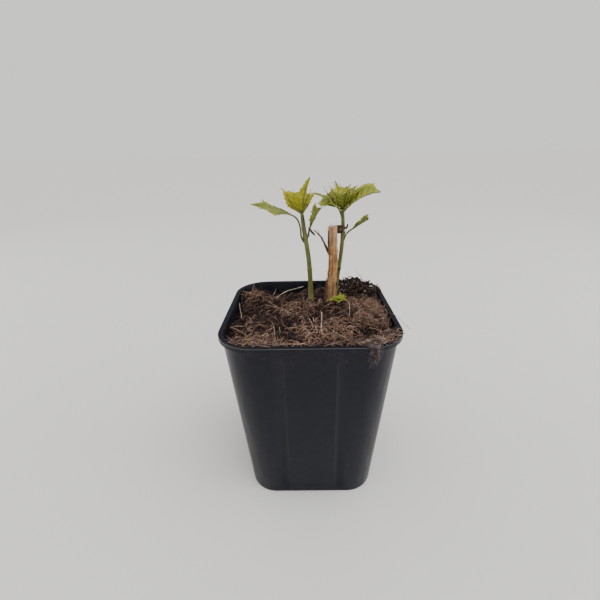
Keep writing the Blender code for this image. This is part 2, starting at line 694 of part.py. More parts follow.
def main():
    clear_scene()
    group = new_collection("potted_rose_mallow")
    cutters = new_collection("cutters")
    build_pot(group, cutters)
    build_mix(group)
    build_old_stem(group)
    build_dead_twig(group)
    left = build_shoot("left_shoot", LEFT_SHOOT, LEFT_SHOOT_RADIUS, group)
    right = build_shoot("right_shoot", RIGHT_SHOOT, RIGHT_SHOOT_RADIUS, group)
    build_crown("left_crown", left, LEFT_CROWN_TOP, LEFT_CROWN_LEAVES, group, "young_leaf")
    build_single_leaf("left_spreading_leaf", left, LEFT_SPREADING_LEAF_HEIGHT, LEFT_SPREADING_LEAF,
                      group, "leaf")
    build_single_leaf("left_small_leaf", left, LEFT_SMALL_LEAF_HEIGHT, LEFT_SMALL_LEAF, group, "leaf")
    build_crown("right_crown", right, RIGHT_CROWN_TOP, RIGHT_CROWN_LEAVES, group, "leaf")
    build_single_leaf("right_side_leaf", right, RIGHT_SIDE_LEAF_HEIGHT, RIGHT_SIDE_LEAF, group, "leaf")
    build_single_leaf("dry_scale", right, DRY_SCALE_HEIGHT, DRY_SCALE, group, "dry_scale")
    build_sprout(group)


main()
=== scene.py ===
# %% [markdown]
# # A potted rose mallow
# This lesson dresses a young rose mallow in a square nursery pot: an old woody stem that was cut
# back, two green shoots with their first leaves, and the fibrous mix that they grow in. The sizes
# come from a fixed model, the frame. Each step makes one part in finer detail, in the same place
# and within the same reach, and it says which solid of the frame it stands for.

import math

import bmesh
import bpy
import numpy as np
from mathutils import Matrix, Vector, noise


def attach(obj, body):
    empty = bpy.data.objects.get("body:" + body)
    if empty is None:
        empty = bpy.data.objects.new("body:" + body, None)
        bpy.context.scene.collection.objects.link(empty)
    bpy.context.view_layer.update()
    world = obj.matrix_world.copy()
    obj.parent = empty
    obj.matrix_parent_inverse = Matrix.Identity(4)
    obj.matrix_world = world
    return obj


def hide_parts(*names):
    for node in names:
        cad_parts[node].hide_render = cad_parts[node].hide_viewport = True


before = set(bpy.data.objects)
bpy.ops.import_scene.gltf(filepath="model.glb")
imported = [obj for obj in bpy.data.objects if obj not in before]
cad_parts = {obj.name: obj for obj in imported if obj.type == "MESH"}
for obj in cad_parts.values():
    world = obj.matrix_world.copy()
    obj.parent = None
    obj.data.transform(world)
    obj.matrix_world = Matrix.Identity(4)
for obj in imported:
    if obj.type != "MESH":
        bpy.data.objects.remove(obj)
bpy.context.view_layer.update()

MM = 0.001

# %% [markdown]
# The camera stands in front of the pot and a little above the plant, as the photographer did. It
# was fitted to the pot's rim, so it has a place, three turns and a focal length, and no shift.

# %% The camera
CAMERA_PLACE = Vector((-2.5 * MM, -181.2 * MM, 180.4 * MM))
CAMERA_DOWN = math.radians(22.67)
CAMERA_TURN = math.radians(-0.79)
CAMERA_ROLL = math.radians(-1.22)
CAMERA_LENS = 21.33
CAMERA_SENSOR = 36

camera_data = bpy.data.cameras.new("camera")
camera_data.lens = CAMERA_LENS
camera_data.sensor_width = CAMERA_SENSOR
camera_data.clip_start = 0.01
camera = bpy.data.objects.new("camera", camera_data)
bpy.context.scene.collection.objects.link(camera)
ahead = Vector((math.sin(CAMERA_TURN) * math.cos(CAMERA_DOWN),
                math.cos(CAMERA_TURN) * math.cos(CAMERA_DOWN), -math.sin(CAMERA_DOWN)))
level = Vector((math.cos(CAMERA_TURN), -math.sin(CAMERA_TURN), 0))
upright = level.cross(ahead)
right = level * math.cos(CAMERA_ROLL) + upright * math.sin(CAMERA_ROLL)
up = upright * math.cos(CAMERA_ROLL) - level * math.sin(CAMERA_ROLL)
camera.matrix_world = Matrix.Translation(CAMERA_PLACE) @ Matrix((right, up, -ahead)).transposed().to_4x4()
bpy.context.scene.camera = camera
print("The camera looks along", tuple(round(v, 3) for v in ahead))

# %% [markdown]
# The plant was photographed against white card in soft light. A very wide plane is the floor, so
# that it ends far behind the leaves. A pale world fills the shadows, a broad sun lamp is the light
# from above, and two large area lights at the sides make the soft streaks on the black plastic.

# %% The floor and the light
FLOOR_SIDE = 40.0
FLOOR_COLOUR = (0.71, 0.70, 0.69, 1)
WORLD_COLOUR = (0.80, 0.785, 0.77, 1)
WORLD_STRENGTH = 1.25

bpy.ops.object.select_all(action="DESELECT")
bpy.ops.mesh.primitive_plane_add(size=FLOOR_SIDE, location=(0, 0, 0))
floor = bpy.context.object
floor.name = "floor"
floor_paint = bpy.data.materials.new("floor_paint")
floor_paint.use_nodes = True
floor_paint.node_tree.nodes["Principled BSDF"].inputs["Base Color"].default_value = FLOOR_COLOUR
floor_paint.node_tree.nodes["Principled BSDF"].inputs["Roughness"].default_value = 0.9
floor_paint.node_tree.nodes["Principled BSDF"].inputs["Specular IOR Level"].default_value = 0.0
floor.data.materials.append(floor_paint)

world = bpy.data.worlds.new("light_box")
world.use_nodes = True
world.node_tree.nodes["Background"].inputs["Color"].default_value = WORLD_COLOUR
world.node_tree.nodes["Background"].inputs["Strength"].default_value = WORLD_STRENGTH
bpy.context.scene.world = world


def lamp(name, kind, place, power):
    """A lamp that looks at the plant. An area lamp's size is set by the caller."""
    light = bpy.data.lights.new(name, kind)
    light.energy = power
    holder = bpy.data.objects.new(name, light)
    holder.location = place
    towards = Vector((0, 0, 0.1)) - Vector(place)
    holder.rotation_euler = towards.to_track_quat("-Z", "Y").to_euler()
    bpy.context.scene.collection.objects.link(holder)
    return light


lamp("overhead", "SUN", (0.25, -0.3, 1.0), 1.35).angle = math.radians(50)
lamp("left_side", "AREA", (-0.9, 0.0, 0.35), 2.6).size = 0.7
lamp("right_side", "AREA", (0.9, -0.1, 0.40), 4.0).size = 0.7

# %% [markdown]
# Most finishes here share a few effects: a mottle of two colours, long streaks, small specks, and
# the veins of a leaf. Each effect is a node group with named sockets, so that a material only says
# how strong and how large it is. A group gives out colours, masks and heights, and the shader
# itself stays in the material.

# %% A node group's frame
COLOUR, NUMBER, VECTOR = "NodeSocketColor", "NodeSocketFloat", "NodeSocketVector"


def new_group(name, inputs, outputs):
    """An empty shader group with its sockets. An input is (name, kind, value)."""
    group = bpy.data.node_groups.new(name, "ShaderNodeTree")
    for label, kind, value in inputs:
        socket = group.interface.new_socket(name=label, in_out="INPUT", socket_type=kind)
        if value is not None:
            socket.default_value = value
    for label, kind in outputs:
        group.interface.new_socket(name=label, in_out="OUTPUT", socket_type=kind)
    return group, group.nodes.new("NodeGroupInput").outputs, group.nodes.new("NodeGroupOutput").inputs


def put(tree, kind, settings=None, **values):
    """Adds a node, with its settings and the values or links of its named inputs."""
    node = tree.nodes.new(kind)
    for label, value in (settings or {}).items():
        setattr(node, label, value)
    for label, value in values.items():
        spot = node.inputs[int(label[1:])] if label[0] == "i" and label[1:].isdigit() else node.inputs[label]
        if isinstance(value, bpy.types.NodeSocket):
            tree.links.new(value, spot)
        else:
            spot.default_value = value
    return node


def sum_of(tree, operation, first, second=0.0, third=0.0, clamp=False):
    """The output of a maths node."""
    return put(tree, "ShaderNodeMath", {"operation": operation, "use_clamp": clamp},
               i0=first, i1=second, i2=third).outputs[0]


def blend_of(tree, share, first, second):
    """The output of a node that mixes two colours by a share."""
    return put(tree, "ShaderNodeMix", {"data_type": "RGBA"}, i0=share, i6=first, i7=second).outputs[2]


def ramp_of(tree, value, low, high, bottom=0.0, top=1.0):
    """A value laid smoothly from one range onto another."""
    return put(tree, "ShaderNodeMapRange", {"interpolation_type": "SMOOTHSTEP"}, Value=value,
               i1=low, i2=high, i3=bottom, i4=top).outputs[0]


print("Node helpers are ready")

# %% The shared effects
mottle, given, wanted = new_group(
    "mottle", (("Vector", VECTOR, None), ("Scale", NUMBER, 300.0), ("Low", NUMBER, 0.35),
               ("High", NUMBER, 0.65), ("Dark", COLOUR, None), ("Pale", COLOUR, None)),
    (("Color", COLOUR), ("Mask", NUMBER)))
cloud = put(mottle, "ShaderNodeTexNoise", Vector=given["Vector"], Scale=given["Scale"], Detail=6.0,
            Roughness=0.6)
share = ramp_of(mottle, cloud.outputs["Fac"], given["Low"], given["High"])
mottle.links.new(blend_of(mottle, share, given["Dark"], given["Pale"]), wanted["Color"])
mottle.links.new(share, wanted["Mask"])

specks, given, wanted = new_group(
    "specks", (("Vector", VECTOR, None), ("Scale", NUMBER, 900.0), ("Size", NUMBER, 0.25),
               ("Share", NUMBER, 0.4)), (("Mask", NUMBER),))
cell = put(specks, "ShaderNodeTexVoronoi", Vector=given["Vector"], Scale=given["Scale"])
dot = sum_of(specks, "LESS_THAN", cell.outputs["Distance"], given["Size"])
picked = put(specks, "ShaderNodeSeparateColor", Color=cell.outputs["Color"]).outputs[0]
kept = sum_of(specks, "LESS_THAN", picked, given["Share"])
specks.links.new(sum_of(specks, "MULTIPLY", dot, kept), wanted["Mask"])

streaks, given, wanted = new_group(
    "streaks", (("Vector", VECTOR, None), ("Stretch", VECTOR, (1.0, 1.0, 0.1)),
                ("Scale", NUMBER, 800.0), ("Low", NUMBER, 0.3), ("High", NUMBER, 0.7)),
    (("Mask", NUMBER), ("Height", NUMBER)))
drawn = put(streaks, "ShaderNodeVectorMath", {"operation": "MULTIPLY"}, i0=given["Vector"],
            i1=given["Stretch"]).outputs[0]
line = put(streaks, "ShaderNodeTexNoise", Vector=drawn, Scale=given["Scale"], Detail=5.0)
streaks.links.new(ramp_of(streaks, line.outputs["Fac"], given["Low"], given["High"]), wanted["Mask"])
streaks.links.new(line.outputs["Fac"], wanted["Height"])
print("Shared effects:", [group.name for group in bpy.data.node_groups])

# %% [markdown]
# A leaf's veins follow the blade, not the room, so they are read from an attribute that each blade
# carries. Its three numbers are the distance from the midrib in millimetres, the count of side
# veins passed so far, and the angle at the blade's base. A side vein lies where its count is at a
# half.

# %% The leaf veins
leaf_veins, given, wanted = new_group(
    "leaf_veins", (("Form", VECTOR, None), ("Place", VECTOR, None), ("Width", NUMBER, 1.0)),
    (("Veins", NUMBER), ("Edge", NUMBER), ("Base", NUMBER), ("Tip", NUMBER)))
form = put(leaf_veins, "ShaderNodeSeparateXYZ", Vector=given["Form"]).outputs
along = put(leaf_veins, "ShaderNodeSeparateXYZ", Vector=given["Place"]).outputs
rib = ramp_of(leaf_veins, form[0], 0.05, sum_of(leaf_veins, "MULTIPLY", given["Width"], 0.55), 1.0, 0.0)
side_phase = sum_of(leaf_veins, "ABSOLUTE", sum_of(
    leaf_veins, "SUBTRACT", sum_of(leaf_veins, "FRACT", form[1]), 0.5))
side_vein = ramp_of(leaf_veins, side_phase, 0.02, 0.16, 0.75, 0.0)
fan_phase = sum_of(leaf_veins, "ABSOLUTE", sum_of(
    leaf_veins, "SUBTRACT", sum_of(leaf_veins, "FRACT", form[2]), 0.5))
fan_fade = ramp_of(leaf_veins, along[1], 0.25, 0.6, 1.0, 0.0)
fan_vein = sum_of(leaf_veins, "MULTIPLY", ramp_of(leaf_veins, fan_phase, 0.03, 0.2, 0.9, 0.0), fan_fade)
both = sum_of(leaf_veins, "MAXIMUM", side_vein, fan_vein)
leaf_veins.links.new(sum_of(leaf_veins, "MAXIMUM", rib, both), wanted["Veins"])
off_middle = sum_of(leaf_veins, "ABSOLUTE", sum_of(leaf_veins, "SUBTRACT", along[0], 0.5))
leaf_veins.links.new(ramp_of(leaf_veins, off_middle, 0.32, 0.5), wanted["Edge"])
leaf_veins.links.new(ramp_of(leaf_veins, along[1], 0.02, 0.42, 1.0, 0.0), wanted["Base"])
leaf_veins.links.new(ramp_of(leaf_veins, along[1], 0.93, 0.985), wanted["Tip"])
print("A leaf's masks:", [socket.name for socket in wanted if socket.name])

# %% [markdown]
# Next come the tools for shaping. They work as a hand does in edit mode: clear the selection, pick
# faces by where they are, and move, cut or grow what is picked.

# %% Shaping helpers


def clear_selection():
    """Leaves edit mode and deselects everything, the frame's solids included."""
    if bpy.context.object and bpy.context.object.mode != "OBJECT":
        bpy.ops.object.mode_set(mode="OBJECT")
    bpy.ops.object.select_all(action="DESELECT")


def make_active(thing):
    """Selects one object alone and makes it the active one."""
    clear_selection()
    thing.select_set(True)
    bpy.context.view_layer.objects.active = thing


def pick_faces(thing, fits):
    """In edit mode, selects the faces whose middle and normal fit, and gives their number."""
    form = bmesh.from_edit_mesh(thing.data)
    bpy.ops.mesh.select_all(action="DESELECT")
    count = 0
    for face in form.faces:
        if fits(face.calc_center_median(), face.normal):
            face.select_set(True)
            count += 1
    form.select_flush_mode()
    bmesh.update_edit_mesh(thing.data)
    return count


def settle(thing):
    """Writes the object's place and size into its mesh, so that it sits at the origin."""
    make_active(thing)
    bpy.ops.object.transform_apply(location=True, rotation=True, scale=True)


def apply_modifier(thing, name, kind, **settings):
    """Adds a modifier, sets it up and applies it at once."""
    make_active(thing)
    changed = thing.modifiers.new(name, kind)
    for label, value in settings.items():
        setattr(changed, label, value)
    bpy.ops.object.modifier_apply(modifier=name)


def triangles(thing):
    return sum(len(face.vertices) - 2 for face in thing.data.polygons)


def hand_over(thing, finish, slot, *nodes):
    """Gives a finished piece its material, its body and the nodes it stands for; the slot is not used."""
    thing.data.materials.clear()
    thing.data.materials.append(finish)
    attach(thing, "root")
    if nodes:
        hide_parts(*nodes)
    print("%s: %d triangles, for %s" % (thing.name, triangles(thing), ", ".join(nodes) or "detail"))


print("Shaping helpers are ready")

# %% [markdown]
# The pot is thin black plastic, blown or pressed in a mould. Its wall tapers, its corners are
# round, and a bead stiffens the rim. It could be drawn as a profile and turned, but it isn't
# round. So a square plate at the rim's height gets its corners rounded and is then drawn down to
# the foot, out to the bead, over the rim and down inside, the way the mould shapes it.

# %% The pot's sizes
POT_SIDE = 90 * MM
POT_HEIGHT = 100 * MM
POT_FOOT_SIDE = 69.6 * MM
POT_WALL = 1.0 * MM
RIM_CORNER = 20 * MM
FOOT_CORNER = 14 * MM
BEAD_PROUD = 1.4 * MM
BEAD_HEIGHT = 2.2 * MM
FOOT_RING_WIDTH = 5 * MM
FOOT_RECESS = 3 * MM
POT_FLOOR = 4.4 * MM
FLUTE_OFFSET = 15 * MM
FLUTE_HALF_WIDTH = 3 * MM
FLUTE_FLAT_HALF = 1.3 * MM
FLUTE_DEPTH = 1.2 * MM
FLUTE_HEIGHTS = (2.5 * MM, 7.5 * MM, 90 * MM, 93 * MM)
BEAD_LOW = POT_HEIGHT - BEAD_HEIGHT


def pot_half(z):
    """Half the pot's outer side at a height, without the rim's bead."""
    return (POT_FOOT_SIDE + (POT_SIDE - 2 * BEAD_PROUD - POT_FOOT_SIDE) * z / POT_HEIGHT) / 2


def pot_corner(z):
    """The radius of the wall's corners at a height."""
    return FOOT_CORNER + (RIM_CORNER - BEAD_PROUD - FOOT_CORNER) * z / POT_HEIGHT


print("The wall narrows from %.1f to %.1f mm" % (2000 * pot_half(POT_HEIGHT), 2000 * pot_half(0)))

# %% The pot's wall, bead and floor


def draw_on(start_half, end_half, rise):
    """Extrudes the picked face by a rise, and then brings it to a new half side."""
    bpy.ops.mesh.extrude_region_move(TRANSFORM_OT_translate={"value": (0, 0, rise)})
    ratio = end_half / start_half
    bpy.ops.transform.resize(value=(ratio, ratio, 1), center_override=(0, 0, 0))


clear_selection()
top_half = pot_half(BEAD_LOW)
bpy.ops.mesh.primitive_plane_add(size=2 * top_half, location=(0, 0, BEAD_LOW))
pot = bpy.context.object
pot.name = "nursery_pot"
settle(pot)
bpy.ops.object.mode_set(mode="EDIT")
bpy.ops.mesh.select_all(action="SELECT")
bpy.ops.mesh.bevel(offset=pot_corner(BEAD_LOW), segments=12, affect="VERTICES")
bpy.ops.mesh.select_mode(type="FACE")
bpy.ops.mesh.select_all(action="SELECT")
draw_on(top_half, pot_half(0), 0.5 * MM - BEAD_LOW)
draw_on(pot_half(0), pot_half(0) - 0.5 * MM, -0.5 * MM)
bpy.ops.mesh.inset(thickness=FOOT_RING_WIDTH + 0.5 * MM)
bpy.ops.mesh.extrude_region_move(TRANSFORM_OT_translate={"value": (0, 0, FOOT_RECESS)})
print("Faces after the foot:", len(bmesh.from_edit_mesh(pot.data).faces))
print("Top plates:", pick_faces(pot, lambda middle, normal: middle.z > BEAD_LOW - 0.01 * MM))
rim_half = POT_SIDE / 2
draw_on(top_half, rim_half, 0)
draw_on(rim_half, rim_half, BEAD_HEIGHT)
bpy.ops.mesh.inset(thickness=BEAD_PROUD + POT_WALL)
inner_half = rim_half - BEAD_PROUD - POT_WALL
draw_on(inner_half, pot_half(POT_FLOOR) - POT_WALL, POT_FLOOR - POT_HEIGHT)
bpy.ops.mesh.select_all(action="SELECT")
bpy.ops.mesh.normals_make_consistent(inside=False)
bpy.ops.object.mode_set(mode="OBJECT")
print("The plain pot has", len(pot.data.polygons), "faces")

# %% [markdown]
# Two shallow upright flutes stiffen each side. The walls are cut along both edges of each flute
# and of its flat, and across where the flute starts and ends. Then the flats are pushed in, and
# the strips beside them become the slopes. The planes stay 15 mm from the middle all the way down.

# %% The flutes


def is_wall(middle, normal):
    return abs(normal.z) < 0.5 and 0.6 * MM < middle.z < BEAD_LOW + 0.1 * MM


make_active(pot)
bpy.ops.object.mode_set(mode="EDIT")
bpy.ops.mesh.select_mode(type="FACE")
cuts = [((0, 0, height), (0, 0, 1)) for height in FLUTE_HEIGHTS]
for centre in (-FLUTE_OFFSET, FLUTE_OFFSET):
    for step in (-FLUTE_HALF_WIDTH, -FLUTE_FLAT_HALF, FLUTE_FLAT_HALF, FLUTE_HALF_WIDTH):
        cuts.append(((centre + step, 0, 0), (1, 0, 0)))
        cuts.append(((0, centre + step, 0), (0, 1, 0)))
for place, facing in cuts:
    pick_faces(pot, lambda middle, normal: abs(normal.z) < 0.5 and middle.z > 0.6 * MM)
    bpy.ops.mesh.bisect(plane_co=place, plane_no=facing)
flute_low, flute_high = FLUTE_HEIGHTS[1], FLUTE_HEIGHTS[2]


def on_flat(across, out):
    """Whether a place on a side lies on the flat of one of its flutes."""
    return abs(abs(across) - FLUTE_OFFSET) < FLUTE_FLAT_HALF and out > 0.02


for turn in range(4):
    out = Vector((math.cos(math.pi / 2 * turn), math.sin(math.pi / 2 * turn), 0))
    along_side = Vector((-out.y, out.x, 0))
    count = pick_faces(pot, lambda middle, normal: is_wall(middle, normal)
                       and flute_low < middle.z < flute_high
                       and on_flat(middle.dot(along_side), middle.dot(out)))
    bpy.ops.transform.translate(value=tuple(-FLUTE_DEPTH * out))
    print("Side %d: %d flute faces pushed in" % (turn, count))
bpy.ops.object.mode_set(mode="OBJECT")

# %% [markdown]
# Water leaves by nine holes in the floor. One round cutter is modelled, copied round a circle and
# joined, and taken out of the pot by a Boolean modifier. A narrow bevel then rounds every edge,
# because moulded plastic has no sharp ones, and the bead needs its thin line of light.

# %% The drain holes and the soft edges
DRAIN_MIDDLE_RADIUS = 4 * MM
DRAIN_RADIUS = 3 * MM
DRAIN_CIRCLE = 20 * MM
DRAIN_COUNT = 8

clear_selection()
bpy.ops.mesh.primitive_cylinder_add(vertices=24, radius=DRAIN_MIDDLE_RADIUS, depth=3 * FOOT_RECESS,
                                    location=(0, 0, FOOT_RECESS))
drill = bpy.context.object
settle(drill)
bits = [drill]
for hole in range(DRAIN_COUNT):
    angle = 2 * math.pi * (hole + 0.5) / DRAIN_COUNT
    bit = drill.copy()
    bit.data = drill.data.copy()
    bpy.context.scene.collection.objects.link(bit)
    bit.scale = (DRAIN_RADIUS / DRAIN_MIDDLE_RADIUS, DRAIN_RADIUS / DRAIN_MIDDLE_RADIUS, 1)
    bit.location = (DRAIN_CIRCLE * math.cos(angle), DRAIN_CIRCLE * math.sin(angle), 0)
    bits.append(bit)
make_active(drill)
for bit in bits:
    bit.select_set(True)
bpy.ops.object.join()
settle(drill)
apply_modifier(pot, "drain_holes", "BOOLEAN", object=drill, operation="DIFFERENCE", solver="EXACT")
bpy.data.objects.remove(drill, do_unlink=True)
apply_modifier(pot, "soft_edges", "BEVEL", width=0.35 * MM, segments=3, limit_method="ANGLE",
               angle_limit=math.radians(24), use_clamp_overlap=True)
make_active(pot)
bpy.ops.object.shade_smooth_by_angle(angle=math.radians(40))
print("The pot has", triangles(pot), "triangles")

# %% [markdown]
# The plastic is near black and half glossy. It has a fine mould grain, faint upright draw marks
# that change the gloss, and a little brown dust from the mix just under the rim. The rim's outer
# top edge is painted grey as a highlight, which draws the thin pale line round the pot.

# %% The pot's plastic
plastic = bpy.data.materials.new("pot_plastic")
plastic.use_nodes = True
tree = plastic.node_tree
shader = tree.nodes["Principled BSDF"].inputs
place = put(tree, "ShaderNodeTexCoord").outputs["Object"]
height = put(tree, "ShaderNodeSeparateXYZ", Vector=place).outputs[2]
black = put(tree, "ShaderNodeGroup", {"node_tree": mottle}, Vector=place, Scale=240.0, Low=0.3, High=0.7,
            Dark=(0.0022, 0.0030, 0.0075, 1), Pale=(0.0045, 0.0056, 0.0115, 1)).outputs["Color"]
marks = put(tree, "ShaderNodeGroup", {"node_tree": streaks}, Vector=place, Stretch=(1.0, 1.0, 0.06),
            Scale=420.0).outputs
dusty = put(tree, "ShaderNodeGroup", {"node_tree": mottle}, Vector=place, Scale=420.0, Low=0.5, High=0.75,
            Dark=(0, 0, 0, 1), Pale=(1, 1, 1, 1)).outputs["Mask"]
near_rim = ramp_of(tree, height, 0.084, 0.0985, 0.0, 0.30)
dust = sum_of(tree, "MULTIPLY", dusty, near_rim)
dusted = blend_of(tree, dust, black, (0.060, 0.042, 0.034, 1))
facing = put(tree, "ShaderNodeNewGeometry").outputs["Normal"]
outward = put(tree, "ShaderNodeVectorMath", {"operation": "DOT_PRODUCT"}, i0=facing,
              i1=put(tree, "ShaderNodeVectorMath", {"operation": "MULTIPLY"}, i0=place,
                     i1=(1.0, 1.0, 0.0)).outputs[0]).outputs["Value"]
slant = put(tree, "ShaderNodeSeparateXYZ", Vector=facing).outputs[2]
# Painted highlight: the rim's outer, up-facing top edge is painted grey for its thin line of light.
rim_highlight_paint = sum_of(tree, "MULTIPLY", ramp_of(tree, outward, 0.012, 0.028), ramp_of(tree, slant, 0.25, 0.75))
rim_highlight_paint = sum_of(tree, "MULTIPLY", rim_highlight_paint, ramp_of(tree, height, 0.0990, 0.0995))
tree.links.new(blend_of(tree, rim_highlight_paint, dusted, (0.24, 0.235, 0.24, 1)), shader["Base Color"])
shader["Specular IOR Level"].default_value = 0.22
level = sum_of(tree, "MULTIPLY", ramp_of(tree, slant, 0.9, 0.98, 0.0, 0.55), ramp_of(tree, height, 0.09, 0.0985))
gloss = sum_of(tree, "ADD", ramp_of(tree, marks["Mask"], 0.0, 1.0, 0.30, 0.40), level)
tree.links.new(gloss, shader["Roughness"])
grain = put(tree, "ShaderNodeTexNoise", Vector=place, Scale=2600.0, Detail=3.0).outputs["Fac"]
fine = put(tree, "ShaderNodeBump", Height=grain, Strength=0.25, Distance=0.00004).outputs["Normal"]
drawn = put(tree, "ShaderNodeBump", Height=marks["Height"], Strength=0.35, Distance=0.00012, Normal=fine)
tree.links.new(drawn.outputs["Normal"], shader["Normal"])
hand_over(pot, plastic, "pot_plastic", "pot")

# %% [markdown]
# The mix is peat with coir, the fibre of coconut husk. It fills the pot to just under the rim, with
# a mound at the front, a bank in the right back corner, and hollows along the left and the back
# wall. Its surface is a fine grid whose heights follow the frame's mounds and hollows, with clods
# and crumbs added as smaller and smaller lumps. The heights are kept in a table, because thousands
# of fibres will be laid on them.

# %% The lie of the mix
MIX_LEVEL = 95.6 * MM
PATCH_LEVEL = 98.4 * MM
PATCH_CENTRE = (9.5 * MM, 14 * MM)
PATCH_REACH = (13.5 * MM, 9.0 * MM)
PATCH_SLOPE = 0.55
GRAIN = 0.9 * MM
GRAIN_SIZE = 7 * MM
# Each mound or hollow: where it lies, how wide it is and how far it rises, in millimetres
MIX_SHAPES = ((0, -40, 22, 2.6), (31, -6, 14, 4.0), (30, 42, 9, 7.5), (42, 28, 7, 5.0),
              (24, 30, 7, -5.0), (-40, 6, 12, -3.6), (-14, 42, 14, -4.6), (-38, -26, 8, -2.5))
# Smaller ones of the dressed mix alone: dark hollows at the back and along the left wall, and clods
FINE_SHAPES = ((-10, 25, 7, -3.0), (-43, -4, 7, -4.0), (-42, -24, 6, -3.2), (-26, 43, 9, -2.4),
               (26, 25, 5, -2.6), (34, 27, 4, 2.2), (-32, 29, 6, 1.4), (13, -4, 4, -1.6),
               (24, -22, 5, -1.5), (-14, -21, 6, -1.4), (-28, 8, 7, -1.5), (42, 6, 4, -2.5), (43, -14, 4, -2.5))
CLODS = ((4.6, 1.7), (2.1, 1.2), (1.05, 0.55))
FEET = 98.7 * MM
STEM_FEET = ((12.9, 13.0, 4.6), (1.5, 14.0, 2.6), (15.6, 19.5, 2.6), (16.8, 7.4, 1.8))
TABLE_HALF = 45 * MM
TABLE_STEP = 0.5 * MM


def smooth(share):
    """0 below 0, 1 above 1, and a soft rise between."""
    share = np.clip(share, 0.0, 1.0)
    return share * share * (3 - 2 * share)


def mix_height(x, y):
    """The height of the mix: mounds and hollows, soft lumps, and the flat patch at the stems."""
    height = MIX_LEVEL
    for across, back, reach, rise in MIX_SHAPES:
        away = ((x / MM - across) ** 2 + (y / MM - back) ** 2) / reach ** 2
        height += rise * MM * math.exp(-away)
    height += GRAIN * noise.noise(Vector((x, y, 0)) / GRAIN_SIZE)
    out = math.hypot((x - PATCH_CENTRE[0]) / PATCH_REACH[0], (y - PATCH_CENTRE[1]) / PATCH_REACH[1])
    return PATCH_LEVEL + (height - PATCH_LEVEL) * float(smooth((out - 1) / PATCH_SLOPE))


def clod_height(x, y):
    """Rounded lumps with creases between them, in three sizes."""
    height = 0.0
    for size, rise in CLODS:
        lump = abs(noise.noise(Vector((x, y, 0.02 * size)) / (size * MM)))
        height += rise * MM * (lump - 0.22)
    for across, back, reach, rise in FINE_SHAPES:
        away = ((x / MM - across) ** 2 + (y / MM - back) ** 2) / reach ** 2
        height += rise * MM * math.exp(-away)
    return height


ticks = np.arange(-TABLE_HALF, TABLE_HALF + TABLE_STEP / 2, TABLE_STEP)
lie = np.array([[mix_height(x, y) for x in ticks] for y in ticks])
clods = np.array([[clod_height(x, y) for x in ticks] for y in ticks])
wide = np.hypot(*np.meshgrid(ticks, ticks))
for foot_x, foot_y, reach in STEM_FEET:
    gap_x, gap_y = np.meshgrid(ticks - foot_x * MM, ticks - foot_y * MM)
    close = np.exp(-(gap_x ** 2 + gap_y ** 2) / (reach * MM) ** 2)
    lie = lie + 0.55 * MM * close
    clods = clods * (1 - 0.5 * close)
ground = lie + clods


def height_at(table, x, y):
    """Heights between the table's points, for arrays of places."""
    across = np.clip((x + TABLE_HALF) / TABLE_STEP, 0, len(ticks) - 1.001)
    back = np.clip((y + TABLE_HALF) / TABLE_STEP, 0, len(ticks) - 1.001)
    i, j = across.astype(int), back.astype(int)
    u, v = across - i, back - j
    near = table[j, i] * (1 - u) + table[j, i + 1] * u
    far = table[j + 1, i] * (1 - u) + table[j + 1, i + 1] * u
    return near * (1 - v) + far * v


print("The mix lies between %.1f and %.1f mm" % (ground.min() / MM, ground.max() / MM))

# %% The mix as one closed block
MIX_CELLS = 170
WALL_GAP = 0.3 * MM
FLUTE_CLEAR = 2.6 * MM
EDGE_HEIGHT = 93.6 * MM
EDGE_DROP = 1.2 * MM
EDGE_DEPTH = 0.4 * MM
FLUTE_PULL = 1.8 * MM

mix_half = pot_half(MIX_LEVEL) - POT_WALL - WALL_GAP
clear_selection()
bpy.ops.mesh.primitive_grid_add(x_subdivisions=MIX_CELLS, y_subdivisions=MIX_CELLS, size=2 * mix_half,
                                location=(0, 0, MIX_LEVEL))
mix = bpy.context.object
mix.name = "potting_mix_block"
settle(mix)
# The square's corners are drawn in to the round corners of the pot
round_off = pot_corner(MIX_LEVEL) - POT_WALL
for vert in mix.data.vertices:
    past_x = abs(vert.co.x) - (mix_half - round_off)
    past_y = abs(vert.co.y) - (mix_half - round_off)
    if past_x > 0 and past_y > 0:
        keep = max(past_x, past_y) / math.hypot(past_x, past_y)
        vert.co.x -= math.copysign(past_x * (1 - keep), vert.co.x)
        vert.co.y -= math.copysign(past_y * (1 - keep), vert.co.y)
bpy.ops.object.mode_set(mode="EDIT")
bpy.ops.mesh.select_mode(type="EDGE")
bpy.ops.mesh.select_all(action="SELECT")
bpy.ops.mesh.region_to_loop()
for height, half in ((EDGE_HEIGHT, mix_half), (EDGE_HEIGHT - EDGE_DROP, mix_half - FLUTE_CLEAR),
                     (POT_FLOOR + WALL_GAP, pot_half(POT_FLOOR) - POT_WALL - FLUTE_CLEAR)):
    loop = [v.co.copy() for v in bmesh.from_edit_mesh(mix.data).verts if v.select]
    ratio = half / max(point.x for point in loop)
    bpy.ops.mesh.extrude_region_move(TRANSFORM_OT_translate={"value": (0, 0, height - loop[0].z)})
    bpy.ops.transform.resize(value=(ratio, ratio, 1), center_override=(0, 0, 0))
bpy.ops.mesh.edge_face_add()
bpy.ops.mesh.select_all(action="SELECT")
bpy.ops.mesh.normals_make_consistent(inside=False)
bpy.ops.object.mode_set(mode="OBJECT")
points = np.empty(len(mix.data.vertices) * 3)
mix.data.vertices.foreach_get("co", points)
points = points.reshape(-1, 3)
on_top = points[:, 2] > EDGE_HEIGHT + 0.1 * MM
points[on_top, 2] = height_at(ground, points[on_top, 0], points[on_top, 1])
